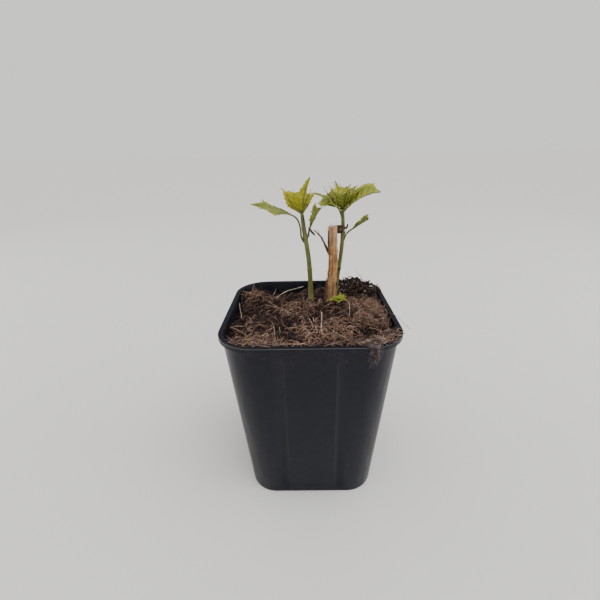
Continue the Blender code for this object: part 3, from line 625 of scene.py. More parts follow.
# In a hollow the block's edge goes down with it, and stays clear of the flutes in the pot's wall
for height, half, depth in ((EDGE_HEIGHT, mix_half, EDGE_DEPTH),
                            (EDGE_HEIGHT - EDGE_DROP, mix_half - FLUTE_CLEAR, EDGE_DEPTH + EDGE_DROP)):
    ring = ~on_top & (np.abs(points[:, 2] - height) < 0.01 * MM)
    edge = height_at(ground, points[ring, 0] * mix_half / half, points[ring, 1] * mix_half / half)
    points[ring, 2] = np.minimum(height, edge - depth)
for out, along_side in ((0, 1), (1, 0)):
    low = (points[:, 2] < FLUTE_HEIGHTS[3] + 0.4 * MM) & (np.abs(points[:, out]) > mix_half - FLUTE_PULL)
    low &= np.abs(np.abs(points[:, along_side]) - FLUTE_OFFSET) < FLUTE_HALF_WIDTH + 0.5 * MM
    points[low, out] = np.sign(points[low, out]) * (mix_half - FLUTE_PULL)
    print("Points kept clear of the flutes:", int(low.sum()))
mix.data.vertices.foreach_set("co", points.ravel())
mix.data.update()
mix.data.shade_smooth()
print("The mix's block has", triangles(mix), "triangles")

# %% [markdown]
# Peat is dark where it is damp and brown where it has dried. The finish mixes
# three browns by clouds of different sizes, and small pale specks are bits of husk.

# %% The finishes of peat and fibre


def peat_finish(name, dark, pale, fleck, fleck_share, scale=520.0, rough=0.95, relief=0.0006):
    """A rough earthy material: a mottle of two browns with flecks of a third."""
    made = bpy.data.materials.new(name)
    made.use_nodes = True
    tree = made.node_tree
    shader = tree.nodes["Principled BSDF"].inputs
    place = put(tree, "ShaderNodeTexCoord").outputs["Object"]
    broad = put(tree, "ShaderNodeGroup", {"node_tree": mottle}, Vector=place, Scale=scale, Low=0.38,
                High=0.62, Dark=(*dark, 1), Pale=(*pale, 1)).outputs
    dots = put(tree, "ShaderNodeGroup", {"node_tree": specks}, Vector=place, Scale=2.2 * scale, Size=0.3,
               Share=fleck_share).outputs["Mask"]
    tree.links.new(blend_of(tree, dots, broad["Color"], (*fleck, 1)), shader["Base Color"])
    shader["Roughness"].default_value = rough
    shader["Specular IOR Level"].default_value = 0.25
    crumbs = put(tree, "ShaderNodeTexNoise", Vector=place, Scale=1500.0, Detail=6.0, Roughness=0.7)
    bump = put(tree, "ShaderNodeBump", Height=crumbs.outputs["Fac"], Strength=0.8, Distance=relief)
    tree.links.new(bump.outputs["Normal"], shader["Normal"])
    return made


peat = peat_finish("peat", (0.004, 0.0022, 0.0018), (0.032, 0.017, 0.012), (0.17, 0.105, 0.075), 0.16)
hand_over(mix, peat, "potting_mix", "potting_mix")

# %% [markdown]
# Coir fibres are thin, stiff, three to fifteen millimetres long and bent at random. Each is a
# tapering tube with three sides along a wandering line, and all of one tone are made together as
# one mesh from arrays of points, which is far quicker than thousands of objects. Most lie on the
# clods, some arch over them and a few stick out. The pot's wall turns those that would leave it.

# %% Tubes from arrays of paths


def mesh_of(name, points, faces):
    """An object from arrays: points (n, 3), and a list of face arrays with equal corner counts."""
    mesh = bpy.data.meshes.new(name)
    mesh.vertices.add(len(points))
    mesh.vertices.foreach_set("co", np.asarray(points, dtype=np.float32).ravel())
    corners = np.concatenate([part.ravel() for part in faces])
    sizes = np.concatenate([np.full(len(part), part.shape[1]) for part in faces])
    mesh.loops.add(len(corners))
    mesh.loops.foreach_set("vertex_index", corners.astype(np.int32))
    mesh.polygons.add(len(sizes))
    starts = np.concatenate([[0], np.cumsum(sizes)[:-1]])
    mesh.polygons.foreach_set("loop_start", starts.astype(np.int32))
    mesh.update(calc_edges=True)
    mesh.validate()
    made = bpy.data.objects.new(name, mesh)
    bpy.context.scene.collection.objects.link(made)
    return made


def unit(vectors):
    return vectors / np.maximum(np.linalg.norm(vectors, axis=-1, keepdims=True), 1e-12)


def tubes(name, paths, radii, sides=3, squash=1.0):
    """Closed tubes along many paths: paths (tubes, points, 3) and radii (tubes, points)."""
    count, steps = paths.shape[:2]
    heading = unit(np.gradient(paths, axis=1))
    helper = np.where(np.abs(heading[..., 2:3]) > 0.9, [[[1.0, 0, 0]]], [[[0, 0, 1.0]]])
    side = unit(np.cross(heading, helper))
    lift = np.cross(side, heading)
    angles = 2 * np.pi * np.arange(sides) / sides + np.pi / 2
    ring = (side[:, :, None] * np.cos(angles)[:, None] + lift[:, :, None] * np.sin(angles)[:, None] * squash)
    points = paths[:, :, None] + ring * radii[:, :, None, None]
    index = np.arange(count * steps * sides).reshape(count, steps, sides)
    after = np.roll(index, -1, axis=2)
    walls = np.stack([index[:, :-1], index[:, 1:], after[:, 1:], after[:, :-1]], axis=-1).reshape(-1, 4)
    ends = np.concatenate([index[:, 0], index[:, -1, ::-1]])
    made = mesh_of(name, points.reshape(-1, 3), [walls, ends])
    made.data.shade_smooth()
    return made


def inside_wall(x, y, half, corner):
    """How far a place is inside a rounded square. Outside it the answer is negative."""
    past_x, past_y = np.abs(x) - (half - corner), np.abs(y) - (half - corner)
    beyond = np.hypot(np.maximum(past_x, 0), np.maximum(past_y, 0))
    return corner - beyond - np.minimum(np.maximum(past_x, past_y), 0)


FIBRE_HALF = 41.6 * MM
FIBRE_CORNER = 17.2 * MM


def wander(seed, count, length, thick, arch, curl, steps=7, spots=None, free=0.06):
    """Paths and radii of fibres on the mix. Lengths, radii and arches are (least, most)."""
    draw = np.random.default_rng(seed)
    x = draw.uniform(-FIBRE_HALF, FIBRE_HALF, count)
    y = draw.uniform(-FIBRE_HALF, FIBRE_HALF, count)
    if spots is not None:
        which = np.asarray(spots)[draw.integers(0, len(spots), count)]
        x = (which[:, 0] + which[:, 2] * draw.normal(0, 0.5, count)) * MM
        y = (which[:, 1] + which[:, 2] * draw.normal(0, 0.5, count)) * MM
    kept = inside_wall(x, y, FIBRE_HALF, FIBRE_CORNER) > 0
    x, y = x[kept], y[kept]
    count = len(x)
    size = length[0] + (length[1] - length[0]) * draw.random(count) ** 1.8
    size *= MM
    # Neighbours lean the same way, because the fibres were pressed down in tufts
    lean = np.array([noise.noise(Vector((a, b, 0.3)) / (9 * MM)) for a, b in zip(x, y)])
    turn = 2 * np.pi * (1.6 * lean + draw.normal(0, 0.22, count))
    bend = draw.normal(0, curl, count)
    sway = draw.uniform(-0.5, 0.5, count)
    phase = draw.uniform(0, 6.3, count)
    arches = draw.uniform(arch[0], arch[1], count) * MM * (0.3 + draw.random(count))
    stands = draw.random(count) < free
    radius = draw.uniform(thick[0], thick[1], count) * MM
    paths = np.empty((count, steps, 3))
    for step in range(steps):
        share = step / (steps - 1)
        out = inside_wall(x, y, FIBRE_HALF, FIBRE_CORNER)
        pull = np.where(out < 0, 1 + out / np.maximum(np.hypot(x, y), 1e-6), 1.0)
        x, y = x * pull, y * pull
        rest = 0.35 * height_at(ground, x, y) + 0.65 * height_at(lie, x, y) + 0.35 * MM
        rise = arches * math.sin(math.pi * share) + np.where(stands, 0.55 * size * share ** 2, 0)
        paths[:, step] = np.stack([x, y, rest + rise + radius * 0.6], axis=1)
        way = turn + bend * share + sway * np.sin(4 * share + phase)
        stride = size / (steps - 1)
        x = x + np.cos(way) * stride
        y = y + np.sin(way) * stride
    taper = 0.45 + 0.55 * np.sin(np.pi * np.clip(np.linspace(0.12, 0.95, steps), 0, 1))
    return paths, radius[:, None] * taper[None]


print("Fibres stay %.1f mm inside the rim" % ((POT_SIDE / 2 - FIBRE_HALF) / MM))

# %% The fibres in five tones
LUMP_SPOTS = ((30, 9, 8), (36, 3, 7), (27, 1, 7), (33, -7, 8), (38, -13, 6), (28, -14, 5), (37, 12, 5))
TAN_SPOTS = ((-32, 29, 6), (-12, 8, 8), (-3, 6, 8), (5, 3, 7), (-8, 0, 7), (-30, -24, 8), (-22, -30, 8),
             (-16, -36, 7), (-34, -32, 5), (0, -20, 8), (8, -26, 8), (4, -34, 7), (18, -31, 6), (30, -37, 7),
             (38, -30, 6), (12, -14, 5))
TONES = {
    "dark": ((0.011, 0.0065, 0.0066), (0.042, 0.026, 0.0255)),
    "brown": ((0.030, 0.0160, 0.0132), (0.090, 0.050, 0.040)),
    "tan": ((0.125, 0.067, 0.045), (0.29, 0.172, 0.120)),
    "pale": ((0.26, 0.172, 0.126), (0.44, 0.32, 0.25)),
    "straw": ((0.27, 0.20, 0.155), (0.50, 0.41, 0.335)),
    "tuft": ((0.050, 0.036, 0.039), (0.165, 0.124, 0.130)),
}
FIBRE_FINISH = {tone: peat_finish("coir_" + tone, dark, pale, pale, 0.2, 380.0, 0.75, 0.0001)
                for tone, (dark, pale) in TONES.items()}
LOOP_SPOTS = ((-30, -24, 8), (-21, -34, 7), (-6, -22, 7), (3, -30, 7), (12, -30, 7), (-32, 28, 5), (16, -20, 6))
FIBRE_SETS = (
    ("dark", 11, 1200, (3, 12), (0.10, 0.24), (0.1, 1.9), 1.1, None),
    ("brown", 12, 850, (3, 13), (0.10, 0.24), (0.2, 1.9), 1.2, None),
    ("tan", 14, 200, (4, 14), (0.11, 0.24), (0.5, 2.8), 1.1, None),
    ("tan", 18, 560, (4, 13), (0.11, 0.24), (0.4, 2.5), 1.2, TAN_SPOTS),
    ("pale", 15, 110, (4, 12), (0.10, 0.20), (0.6, 2.9), 1.0, TAN_SPOTS),
    ("tan", 19, 110, (5, 11), (0.20, 0.36), (1.4, 3.8), 0.8, LOOP_SPOTS),
    ("pale", 20, 24, (5, 11), (0.16, 0.28), (1.4, 3.8), 0.8, LOOP_SPOTS),
    ("brown", 13, 400, (3, 9), (0.08, 0.16), (0.4, 2.2), 1.8, LUMP_SPOTS),
    ("tan", 16, 1150, (3, 9), (0.07, 0.15), (0.5, 2.4), 1.9, LUMP_SPOTS),
    ("pale", 17, 320, (3, 8), (0.06, 0.12), (0.7, 2.7), 1.9, LUMP_SPOTS),
)
for tone, seed, count, length, thick, arch, curl, spots in FIBRE_SETS:
    paths, radii = wander(seed, count, length, thick, arch, curl, spots=spots)
    made = tubes("mix_fibres_%s_%d" % (tone, seed), paths, radii)
    hand_over(made, FIBRE_FINISH[tone], "potting_mix", "potting_mix")

# %% [markdown]
# A few flat pale straws catch the eye. These are drawn one by one through given points: across the
# hollow at the back, down the left wall, and in front of the green shoot.

# %% Straws drawn one by one


def through(points, steps):
    """A smooth line of evenly numbered points through the given ones, in metres."""
    fixed = np.asarray(points, dtype=float)
    ends = np.vstack([2 * fixed[0] - fixed[1], fixed, 2 * fixed[-1] - fixed[-2]])
    line = []
    for share in np.linspace(0, len(fixed) - 1, steps):
        at = min(int(share), len(fixed) - 2)
        t = share - at
        before, start, end, after = ends[at:at + 4]
        line.append(0.5 * (2 * start + (end - before) * t + (2 * before - 5 * start + 4 * end - after) * t * t
                           + (3 * start - before - 3 * end + after) * t ** 3))
    return np.array(line)


STRAWS = (
    ((-20.8, 22.4, 96.6), (-14.0, 27.5, 99.2), (-7.5, 31.0, 99.8), (-3.0, 34.0, 100.0)),
    ((-22.5, 30.0, 95.8), (-21.4, 31.5, 97.4), (-20.8, 32.0, 99.4)),
    ((-41.4, 14.0, 97.8), (-40.2, 8.0, 96.4), (-38.2, 0.0, 96.6), (-37.6, -4.0, 96.0)),
    ((1.9, -9.0, 98.2), (2.6, -17.0, 97.9), (3.4, -26.0, 98.4), (3.9, -33.0, 98.9)),
    ((6.6, -2.0, 98.4), (6.4, -12.0, 98.8), (5.6, -24.0, 98.9), (6.1, -35.0, 99.6)),
    ((-0.5, -8.0, 97.8), (1.4, -18.0, 98.3), (2.4, -27.0, 98.0)),
    ((10.0, -21.0, 98.0), (12.5, -28.0, 98.8), (17.5, -33.0, 98.6)),
    ((21.0, 14.0, 98.6), (22.5, 6.0, 100.2), (22.0, -5.0, 100.6), (20.6, -12.0, 99.2)),
)
straw_paths = np.array([through(points, 16) * MM for points in STRAWS])
straw_width = np.array([0.40, 0.22, 0.20, 0.30, 0.34, 0.26, 0.20, 0.18])
straw_taper = 0.5 + 0.5 * np.sin(np.pi * np.linspace(0.1, 0.92, 16))
straws = tubes("mix_straws", straw_paths, straw_width[:, None] * MM * straw_taper, sides=6, squash=0.45)
hand_over(straws, FIBRE_FINISH["straw"], "potting_mix", "potting_mix")


# %% [markdown]
# At the front right the fibres spill over the rim. They lie across it in a mat, a tuft hangs down
# the pot's face, and one straight hair points away from the rim on the right.

# %% Fibres over the rim
RIM_STEPS = 12
MAT_COUNT = 230
FRONT_COUNT = 130
TUFT_COUNT = 60
HAIR_PAST_RIM = ((41.5, -9.5, 100.4), (44.2, -12.8, 100.8), (46.4, -15.2, 99.7), (48.6, -17.6, 98.0),
                 (50.8, -20.0, 96.1))


def rim_front(x):
    """The y of the rim's front edge at a place across it, in millimetres."""
    past = max(0.0, x - 25.0)
    return -25.0 - math.sqrt(max(400.0 - past * past, 0.0))


draw = np.random.default_rng(31)
mat = []
for number in range(MAT_COUNT + FRONT_COUNT):
    x = min(draw.uniform(19.0, 44.0), draw.uniform(26.0, 45.0))
    inward = draw.uniform(0.6, 6.5)
    if number >= MAT_COUNT:
        x = draw.uniform(-36.0, 24.0)
        inward = draw.uniform(1.6, 5.5)
    y = rim_front(abs(x)) + inward
    turn = draw.uniform(0, math.pi)
    bend = draw.normal(0, 0.7)
    stride = draw.uniform(3.0, 9.0) / (RIM_STEPS - 1)
    arch = draw.uniform(0.2, 1.9) if number < MAT_COUNT else draw.uniform(0.0, 0.9)
    line = []
    for step in range(RIM_STEPS):
        share = step / (RIM_STEPS - 1)
        past_x = max(abs(x) - 25.0, 0.0)
        out = math.hypot(past_x, min(y + 25.0, 0.0))
        limit = 20.0 + 0.5 * arch if number < MAT_COUNT else 18.6
        pull = min(1.0, limit / max(out, 1e-6))
        on_x = math.copysign(25.0 + past_x * pull, x) if past_x else x
        on_y = -25.0 + (y + 25.0) * pull
        line.append((on_x, on_y, 100.25 + arch * math.sin(math.pi * share) - 0.25 * max(0.0, 17.2 - out)))
        x += math.cos(turn + bend * share) * stride
        y += math.sin(turn + bend * share) * stride
    mat.append(np.array(line) * MM)
for number in range(TUFT_COUNT):
    x = draw.normal(28.4, 1.3)
    drop = 1.0 + 9.5 * draw.random() ** 1.5
    slide = draw.normal(-0.12 * drop, 0.9)
    kink = draw.normal(0, 0.8)
    mat.append(through(((x - slide, -43.2, 100.4), (x, -45.0, 100.6), (x + 0.3 * slide + kink, -45.7, 99.6),
                        (x + 0.6 * slide - kink, -45.4, 99.4 - 0.5 * drop),
                        (x + slide + kink, -44.9, 99.2 - drop)), RIM_STEPS) * MM)
mat.append(through(HAIR_PAST_RIM, RIM_STEPS) * MM)
mat = np.array(mat)
mat_radii = draw.uniform(0.09, 0.19, len(mat))[:, None] * MM * (0.5 + 0.5 * np.linspace(1, 0.3, RIM_STEPS))
tuft = np.arange(len(mat)) >= MAT_COUNT + FRONT_COUNT
tuft[-1] = False
mat_radii[tuft] *= 0.75
hand_over(tubes("rim_tuft", mat[tuft], mat_radii[tuft], sides=3), FIBRE_FINISH["tuft"], "potting_mix",
          "potting_mix")
mat, mat_radii = mat[~tuft], mat_radii[~tuft]
order = np.arange(len(mat))
for tone, chosen in (("tuft", order % 4 == 0), ("dark", order % 4 == 1), ("tan", order % 4 == 2),
                     ("pale", order % 4 == 3)):
    made = tubes("rim_fibres_" + tone, mat[chosen], mat_radii[chosen], sides=3)
    hand_over(made, FIBRE_FINISH[tone], "potting_mix", "potting_mix")

# %% [markdown]
# Between the fibres lie crumbs of peat and bits of husk. A small round is jittered once for each
# crumb, and the crumbs of one tone are one mesh. Some have rolled onto the bank and the rim in the
# right back corner, with whitish grains among them.

# %% Crumbs and grains


def lumps(name, seed, places, sizes, detail):
    """Rough little solids at given places, each with its own shape and turn."""
    clear_selection()
    bpy.ops.mesh.primitive_ico_sphere_add(subdivisions=detail, radius=1.0, location=(0, 0, 0))
    pattern = bpy.context.object
    base = np.array([vert.co for vert in pattern.data.vertices])
    sides = np.array([face.vertices[:] for face in pattern.data.polygons])
    bpy.data.objects.remove(pattern, do_unlink=True)
    draw = np.random.default_rng(seed)
    count = len(places)
    stretch = draw.uniform(0.55, 1.25, (count, 1, 3))
    rough = 1 + draw.uniform(-0.28, 0.22, (count, len(base), 1))
    turn = draw.uniform(0, 2 * np.pi, count)
    points = base[None] * stretch * rough * sizes[:, None, None]
    x = points[..., 0] * np.cos(turn)[:, None] - points[..., 1] * np.sin(turn)[:, None]
    y = points[..., 0] * np.sin(turn)[:, None] + points[..., 1] * np.cos(turn)[:, None]
    points = np.stack([x, y, points[..., 2]], axis=-1) + places[:, None]
    faces = (sides[None] + len(base) * np.arange(count)[:, None, None]).reshape(-1, 3)
    return mesh_of(name, points.reshape(-1, 3), [faces])


def strewn(seed, count, sizes, spots=None):
    """Places on the mix for crumbs, and their sizes between the two given ones."""
    draw = np.random.default_rng(seed)
    x = draw.uniform(-FIBRE_HALF, FIBRE_HALF, count)
    y = draw.uniform(-FIBRE_HALF, FIBRE_HALF, count)
    if spots is not None:
        which = np.asarray(spots)[draw.integers(0, len(spots), count)]
        x = (which[:, 0] + which[:, 2] * draw.normal(0, 0.5, count)) * MM
        y = (which[:, 1] + which[:, 2] * draw.normal(0, 0.5, count)) * MM
    kept = inside_wall(x, y, FIBRE_HALF, FIBRE_CORNER) > 0
    x, y = x[kept], y[kept]
    size = (sizes[0] + (sizes[1] - sizes[0]) * draw.random(len(x)) ** 2.5) * MM
    z = height_at(ground, x, y) + size * draw.uniform(0.0, 0.7, len(x)) + 0.2 * MM
    return np.stack([x, y, z], axis=1), size


BANK_SPOTS = ((30, 38, 8), (36, 33, 6), (40, 26, 5), (22, 38, 6))
places, sizes = strewn(41, 900, (0.25, 1.0))
made = lumps("mix_crumbs_small", 42, places, sizes, 1)
hand_over(made, peat_finish("crumb_brown", (0.016, 0.009, 0.007), (0.085, 0.050, 0.038),
                            (0.2, 0.13, 0.10), 0.15), "potting_mix", "potting_mix")
places, sizes = strewn(43, 170, (0.8, 1.9))
more_places, more_sizes = strewn(44, 120, (0.6, 1.8), BANK_SPOTS)
made = lumps("mix_crumbs_large", 45, np.vstack([places, more_places]), np.append(sizes, more_sizes), 2)
hand_over(made, peat_finish("crumb_dark", (0.008, 0.004, 0.003), (0.045, 0.024, 0.016),
                            (0.14, 0.08, 0.05), 0.15), "potting_mix", "potting_mix")
draw = np.random.default_rng(46)
angle = draw.uniform(-0.15, 1.75, 150)
rim_radius = draw.uniform(18.2, 19.9, 150)
rim_x = 25.0 + rim_radius * np.cos(angle)
rim_y = 25.0 + rim_radius * np.sin(angle)
straight = draw.random(150) < 0.3
rim_x = np.where(straight, draw.uniform(16.0, 27.0, 150), rim_x)
rim_y = np.where(straight, draw.uniform(43.4, 44.8, 150), rim_y)
rim_size = (0.2 + 0.75 * draw.random(150) ** 2) * MM
rim_z = 100.0 * MM + rim_size * 0.6 + draw.random(150) ** 3 * 1.5 * MM
rim_places = np.stack([rim_x * MM, rim_y * MM, rim_z], axis=1)
made = lumps("rim_crumbs", 47, rim_places, rim_size, 1)
hand_over(made, bpy.data.materials["crumb_dark"], "potting_mix", "potting_mix")
places, sizes = strewn(48, 170, (0.25, 0.7), BANK_SPOTS)
more_places, more_sizes = strewn(49, 60, (0.18, 0.42))
made = lumps("mix_grains", 50, np.vstack([places, more_places]), np.append(sizes, more_sizes), 1)
hand_over(made, peat_finish("pale_grain", (0.28, 0.25, 0.22), (0.55, 0.52, 0.48), (0.6, 0.58, 0.55), 0.2,
                            rough=0.7), "potting_mix", "potting_mix")

# %% [markdown]
# The old stem was cut back to a stub. It is built as a stack of rings, each drawn up from the one
# below, and the bark's ridges, knots and bud ring are then raised by moving the rings' points in
# and out. Only shape in the mesh shows at the outline, so the relief is modelled and not painted.

# %% The stub's rings
STUB_FOOT = Vector((12.9 * MM, 13.0 * MM, FEET))
STUB_TOP = Vector((13.6 * MM, 13.0 * MM, 142.5 * MM))
STUB_BOW = 0.7 * MM
STUB_RADIUS = 3.05 * MM
STUB_TAPER = 0.78
STUB_FLARE = 0.9 * MM
STUB_FLARE_HEIGHT = 4 * MM
STUB_RING_HEIGHT = 128.6 * MM
STUB_RING_SWELL = 0.22 * MM
STUB_RING_REACH = 1.5 * MM
STUB_SIDES = 56
STUB_ROWS = 150


def stub_radius(z):
    share = (z - STUB_FOOT.z) / (STUB_TOP.z - STUB_FOOT.z)
    radius = STUB_RADIUS * (1 + (STUB_TAPER - 1) * share)
    radius += STUB_FLARE * math.exp(-(z - STUB_FOOT.z) / STUB_FLARE_HEIGHT)
    radius += STUB_RING_SWELL * math.exp(-((z - STUB_RING_HEIGHT) / STUB_RING_REACH) ** 2)
    return radius


def stub_axis(z):
    """The middle of the stub at a height, with its slight bow to the right."""
    share = (z - STUB_FOOT.z) / (STUB_TOP.z - STUB_FOOT.z)
    middle = STUB_FOOT.lerp(STUB_TOP, share)
    middle.x += STUB_BOW * math.sin(math.pi * share) ** 2
    return middle


clear_selection()
bpy.ops.mesh.primitive_circle_add(vertices=STUB_SIDES, radius=stub_radius(FEET), fill_type="NGON",
                                  location=STUB_FOOT)
stub = bpy.context.object
stub.name = "old_stem_bark"
settle(stub)
bpy.ops.object.mode_set(mode="EDIT")
bpy.ops.mesh.select_mode(type="FACE")
bpy.ops.mesh.select_all(action="SELECT")
heights = [FEET + (STUB_TOP.z - FEET) * row / STUB_ROWS for row in range(STUB_ROWS + 1)]
for low, high in zip(heights, heights[1:]):
    step = stub_axis(high) - stub_axis(low)
    bpy.ops.mesh.extrude_region_move(TRANSFORM_OT_translate={"value": tuple(step)})
    ratio = stub_radius(high) / stub_radius(low)
    bpy.ops.transform.resize(value=(ratio, ratio, 1), center_override=tuple(stub_axis(high)))
bpy.ops.mesh.inset(thickness=0.28 * MM)
bpy.ops.transform.translate(value=(0, 0, -0.10 * MM))
bpy.ops.mesh.inset(thickness=1.55 * MM)
bpy.ops.mesh.inset(thickness=0.35 * MM)
bpy.ops.transform.translate(value=(0, 0, -0.45 * MM))
bpy.ops.mesh.select_all(action="SELECT")
bpy.ops.mesh.normals_make_consistent(inside=False)
bpy.ops.object.mode_set(mode="OBJECT")
print("The stub's stack has", len(stub.data.polygons), "faces")

# %% The bark's relief
# Each knot: the angle round the stub in degrees, its height and its reach in millimetres, its rise
KNOTS = ((-70, 119.4, 1.4, 0.42), (-48, 121.6, 1.0, 0.34), (-172, 116.0, 1.6, 0.45), (-140, 130.2, 1.3, 0.42),
         (-112, 131.4, 0.9, 0.34), (-20, 111.4, 1.5, 0.42), (95, 121.0, 1.8, 0.40), (60, 111.0, 1.3, 0.35),
         (10, 128.4, 1.3, 0.35), (-95, 126.0, 0.8, 0.22), (150, 107.0, 1.6, 0.40))


def bark_rise(angle, z):
    """How far the bark stands out at an angle and a height."""
    round_x, round_y = math.cos(angle), math.sin(angle)
    ridge = noise.noise(Vector((round_x * 2.6, round_y * 2.6, z / (7 * MM))))
    fine = noise.noise(Vector((round_x * 7.5, round_y * 7.5, z / (2.6 * MM))))
    scale = noise.noise(Vector((round_x * 4.0, round_y * 4.0, z / (0.9 * MM) + 7)))
    rise = (0.20 * ridge - 0.24 * abs(fine) + 0.07 * scale) * MM
    low = 1.0 - float(smooth((z - FEET) / (16 * MM)))
    rise += low * 0.34 * MM * noise.noise(Vector((round_x * 5, round_y * 5, z / (4 * MM) + 3)))
    for degrees, height, reach, stand in KNOTS:
        turn = math.remainder(angle - math.radians(degrees), 2 * math.pi) * STUB_RADIUS
        away = (turn ** 2 + 1.6 * (z - height * MM) ** 2) / (reach * MM) ** 2
        rise += stand * MM * (math.exp(-away) - 0.55 * math.exp(-5 * away))
    seam = math.exp(-((z - STUB_RING_HEIGHT) / (0.35 * MM)) ** 2)
    return rise - 0.14 * MM * seam


cut_face = STUB_TOP.z - 0.02 * MM
for vert in stub.data.vertices:
    middle = stub_axis(vert.co.z)
    out = Vector((vert.co.x - middle.x, vert.co.y - middle.y, 0))
    angle = math.atan2(out.y, out.x)
    on_bark = out.length > 0.93 * stub_radius(min(vert.co.z, STUB_TOP.z)) and vert.co.z < STUB_TOP.z + 1e-6
    if on_bark:
        vert.co += out.normalized() * bark_rise(angle, vert.co.z)
    if vert.co.z > STUB_TOP.z - 0.6 * MM:
        vert.co.z += 0.16 * MM * noise.noise(Vector((vert.co.x, vert.co.y, 5)) / (1.1 * MM))
stub.data.update()
make_active(stub)
bpy.ops.object.shade_smooth_by_angle(angle=math.radians(45))
bark_box = [Vector(corner) for corner in stub.bound_box]
print("The stub is %.2f mm wide" % ((bark_box[6].x - bark_box[0].x) / MM))

# %% [markdown]
# A torn strip of dark bark stands at the stub's left foot, and splinters stand on the cut where the
# shears pulled the wood. They are short tapering tubes, bent and flattened, with rough skins.

# %% Loose bark and splinters
STRIP_STEPS = 26
# Each strip: its turn round the stub in degrees, its two heights and its half width in millimetres,
# and how far its top leans out
STRIPS = ((186, 98.4, 113.4, 0.85, 0.35), (214, 98.4, 109.0, 0.75, 0.25), (160, 98.4, 111.0, 0.80, 0.3),
          (182, 129.6, 142.6, 0.42, 0.05), (203, 132.5, 139.4, 0.26, 0.05), (-24, 107.5, 112.6, 0.62, 0.2))
# The fourth and fifth strips lie high on the stub's left side and darken its left edge there.
strip_lines = []
strip_radii = []
strip_share = np.linspace(0, 1, STRIP_STEPS)
for degrees, low, high, wide, lean in STRIPS:
    line = []
    for k, share in enumerate(strip_share):
        z = (low + (high - low) * share) * MM
        wander_by = noise.noise_vector(Vector((0.45 * k, degrees, high)))
        angle = math.radians(degrees) + 0.10 * wander_by.x
        out = stub_radius(z) + (0.10 + lean * share ** 3 + 0.14 * wander_by.y) * MM
        line.append(stub_axis(z) + Vector((math.cos(angle), math.sin(angle), 0)) * out)
    strip_lines.append(np.array(line))
    strip_radii.append(wide * MM * (1.05 - 0.8 * strip_share ** 3) * (0.6 + 0.4 * smooth(strip_share / 0.1))
                       * (1 + 0.20 * np.sin(np.arange(STRIP_STEPS) * 1.7 + degrees)))
strip = tubes("old_stem_dark_strips", np.array(strip_lines), np.array(strip_radii), sides=10, squash=0.7)
splinter_lines = []
splinter_radii = []
SPLINTERS = ((58, 0.93, 0.9, 0.28), (20, 0.90, 2.5, 0.34), (-28, 0.95, 1.4, 0.26), (-74, 0.96, 0.7, 0.30),
             (-120, 0.95, 0.9, 0.24), (160, 0.95, 0.6, 0.26), (110, 0.9, 1.2, 0.28), (5, 0.78, 1.7, 0.22))
for degrees, out, tall, thick in SPLINTERS:
    angle = math.radians(degrees)
    reach = stub_radius(STUB_TOP.z) * out / MM
    base = (reach * math.cos(angle), reach * math.sin(angle), -1.2)
    lean = 0.28 * math.cos(3 * angle)
    points = (base, (base[0] * 0.98, base[1], -0.2), (base[0] * 0.95 - lean * 0.5, base[1], 0.5 * tall),
              (base[0] * 0.86 - lean, base[1] * 0.95, tall))
    splinter_lines.append(through(points, 10) * MM + np.array(STUB_TOP))
    splinter_radii.append(thick * MM * np.linspace(1.0, 0.12, 10))
splinters = tubes("old_stem_splinters", np.array(splinter_lines), np.array(splinter_radii), sides=5, squash=0.6)
print("Strips:", len(strip_lines), "splinters:", len(splinter_lines))

# %% [markdown]
# The bark is tan with long paler streaks, darker towards the ground and redder in the cracks. The
# cut shows pinkish wood with growth rings round the pith. Both are one material: where the surface
# looks up at the stub's top, the wood takes the bark's place.

# %% The stub's bark and cut wood
STREAKS_UP = (1.0, 1.0, 0.14)


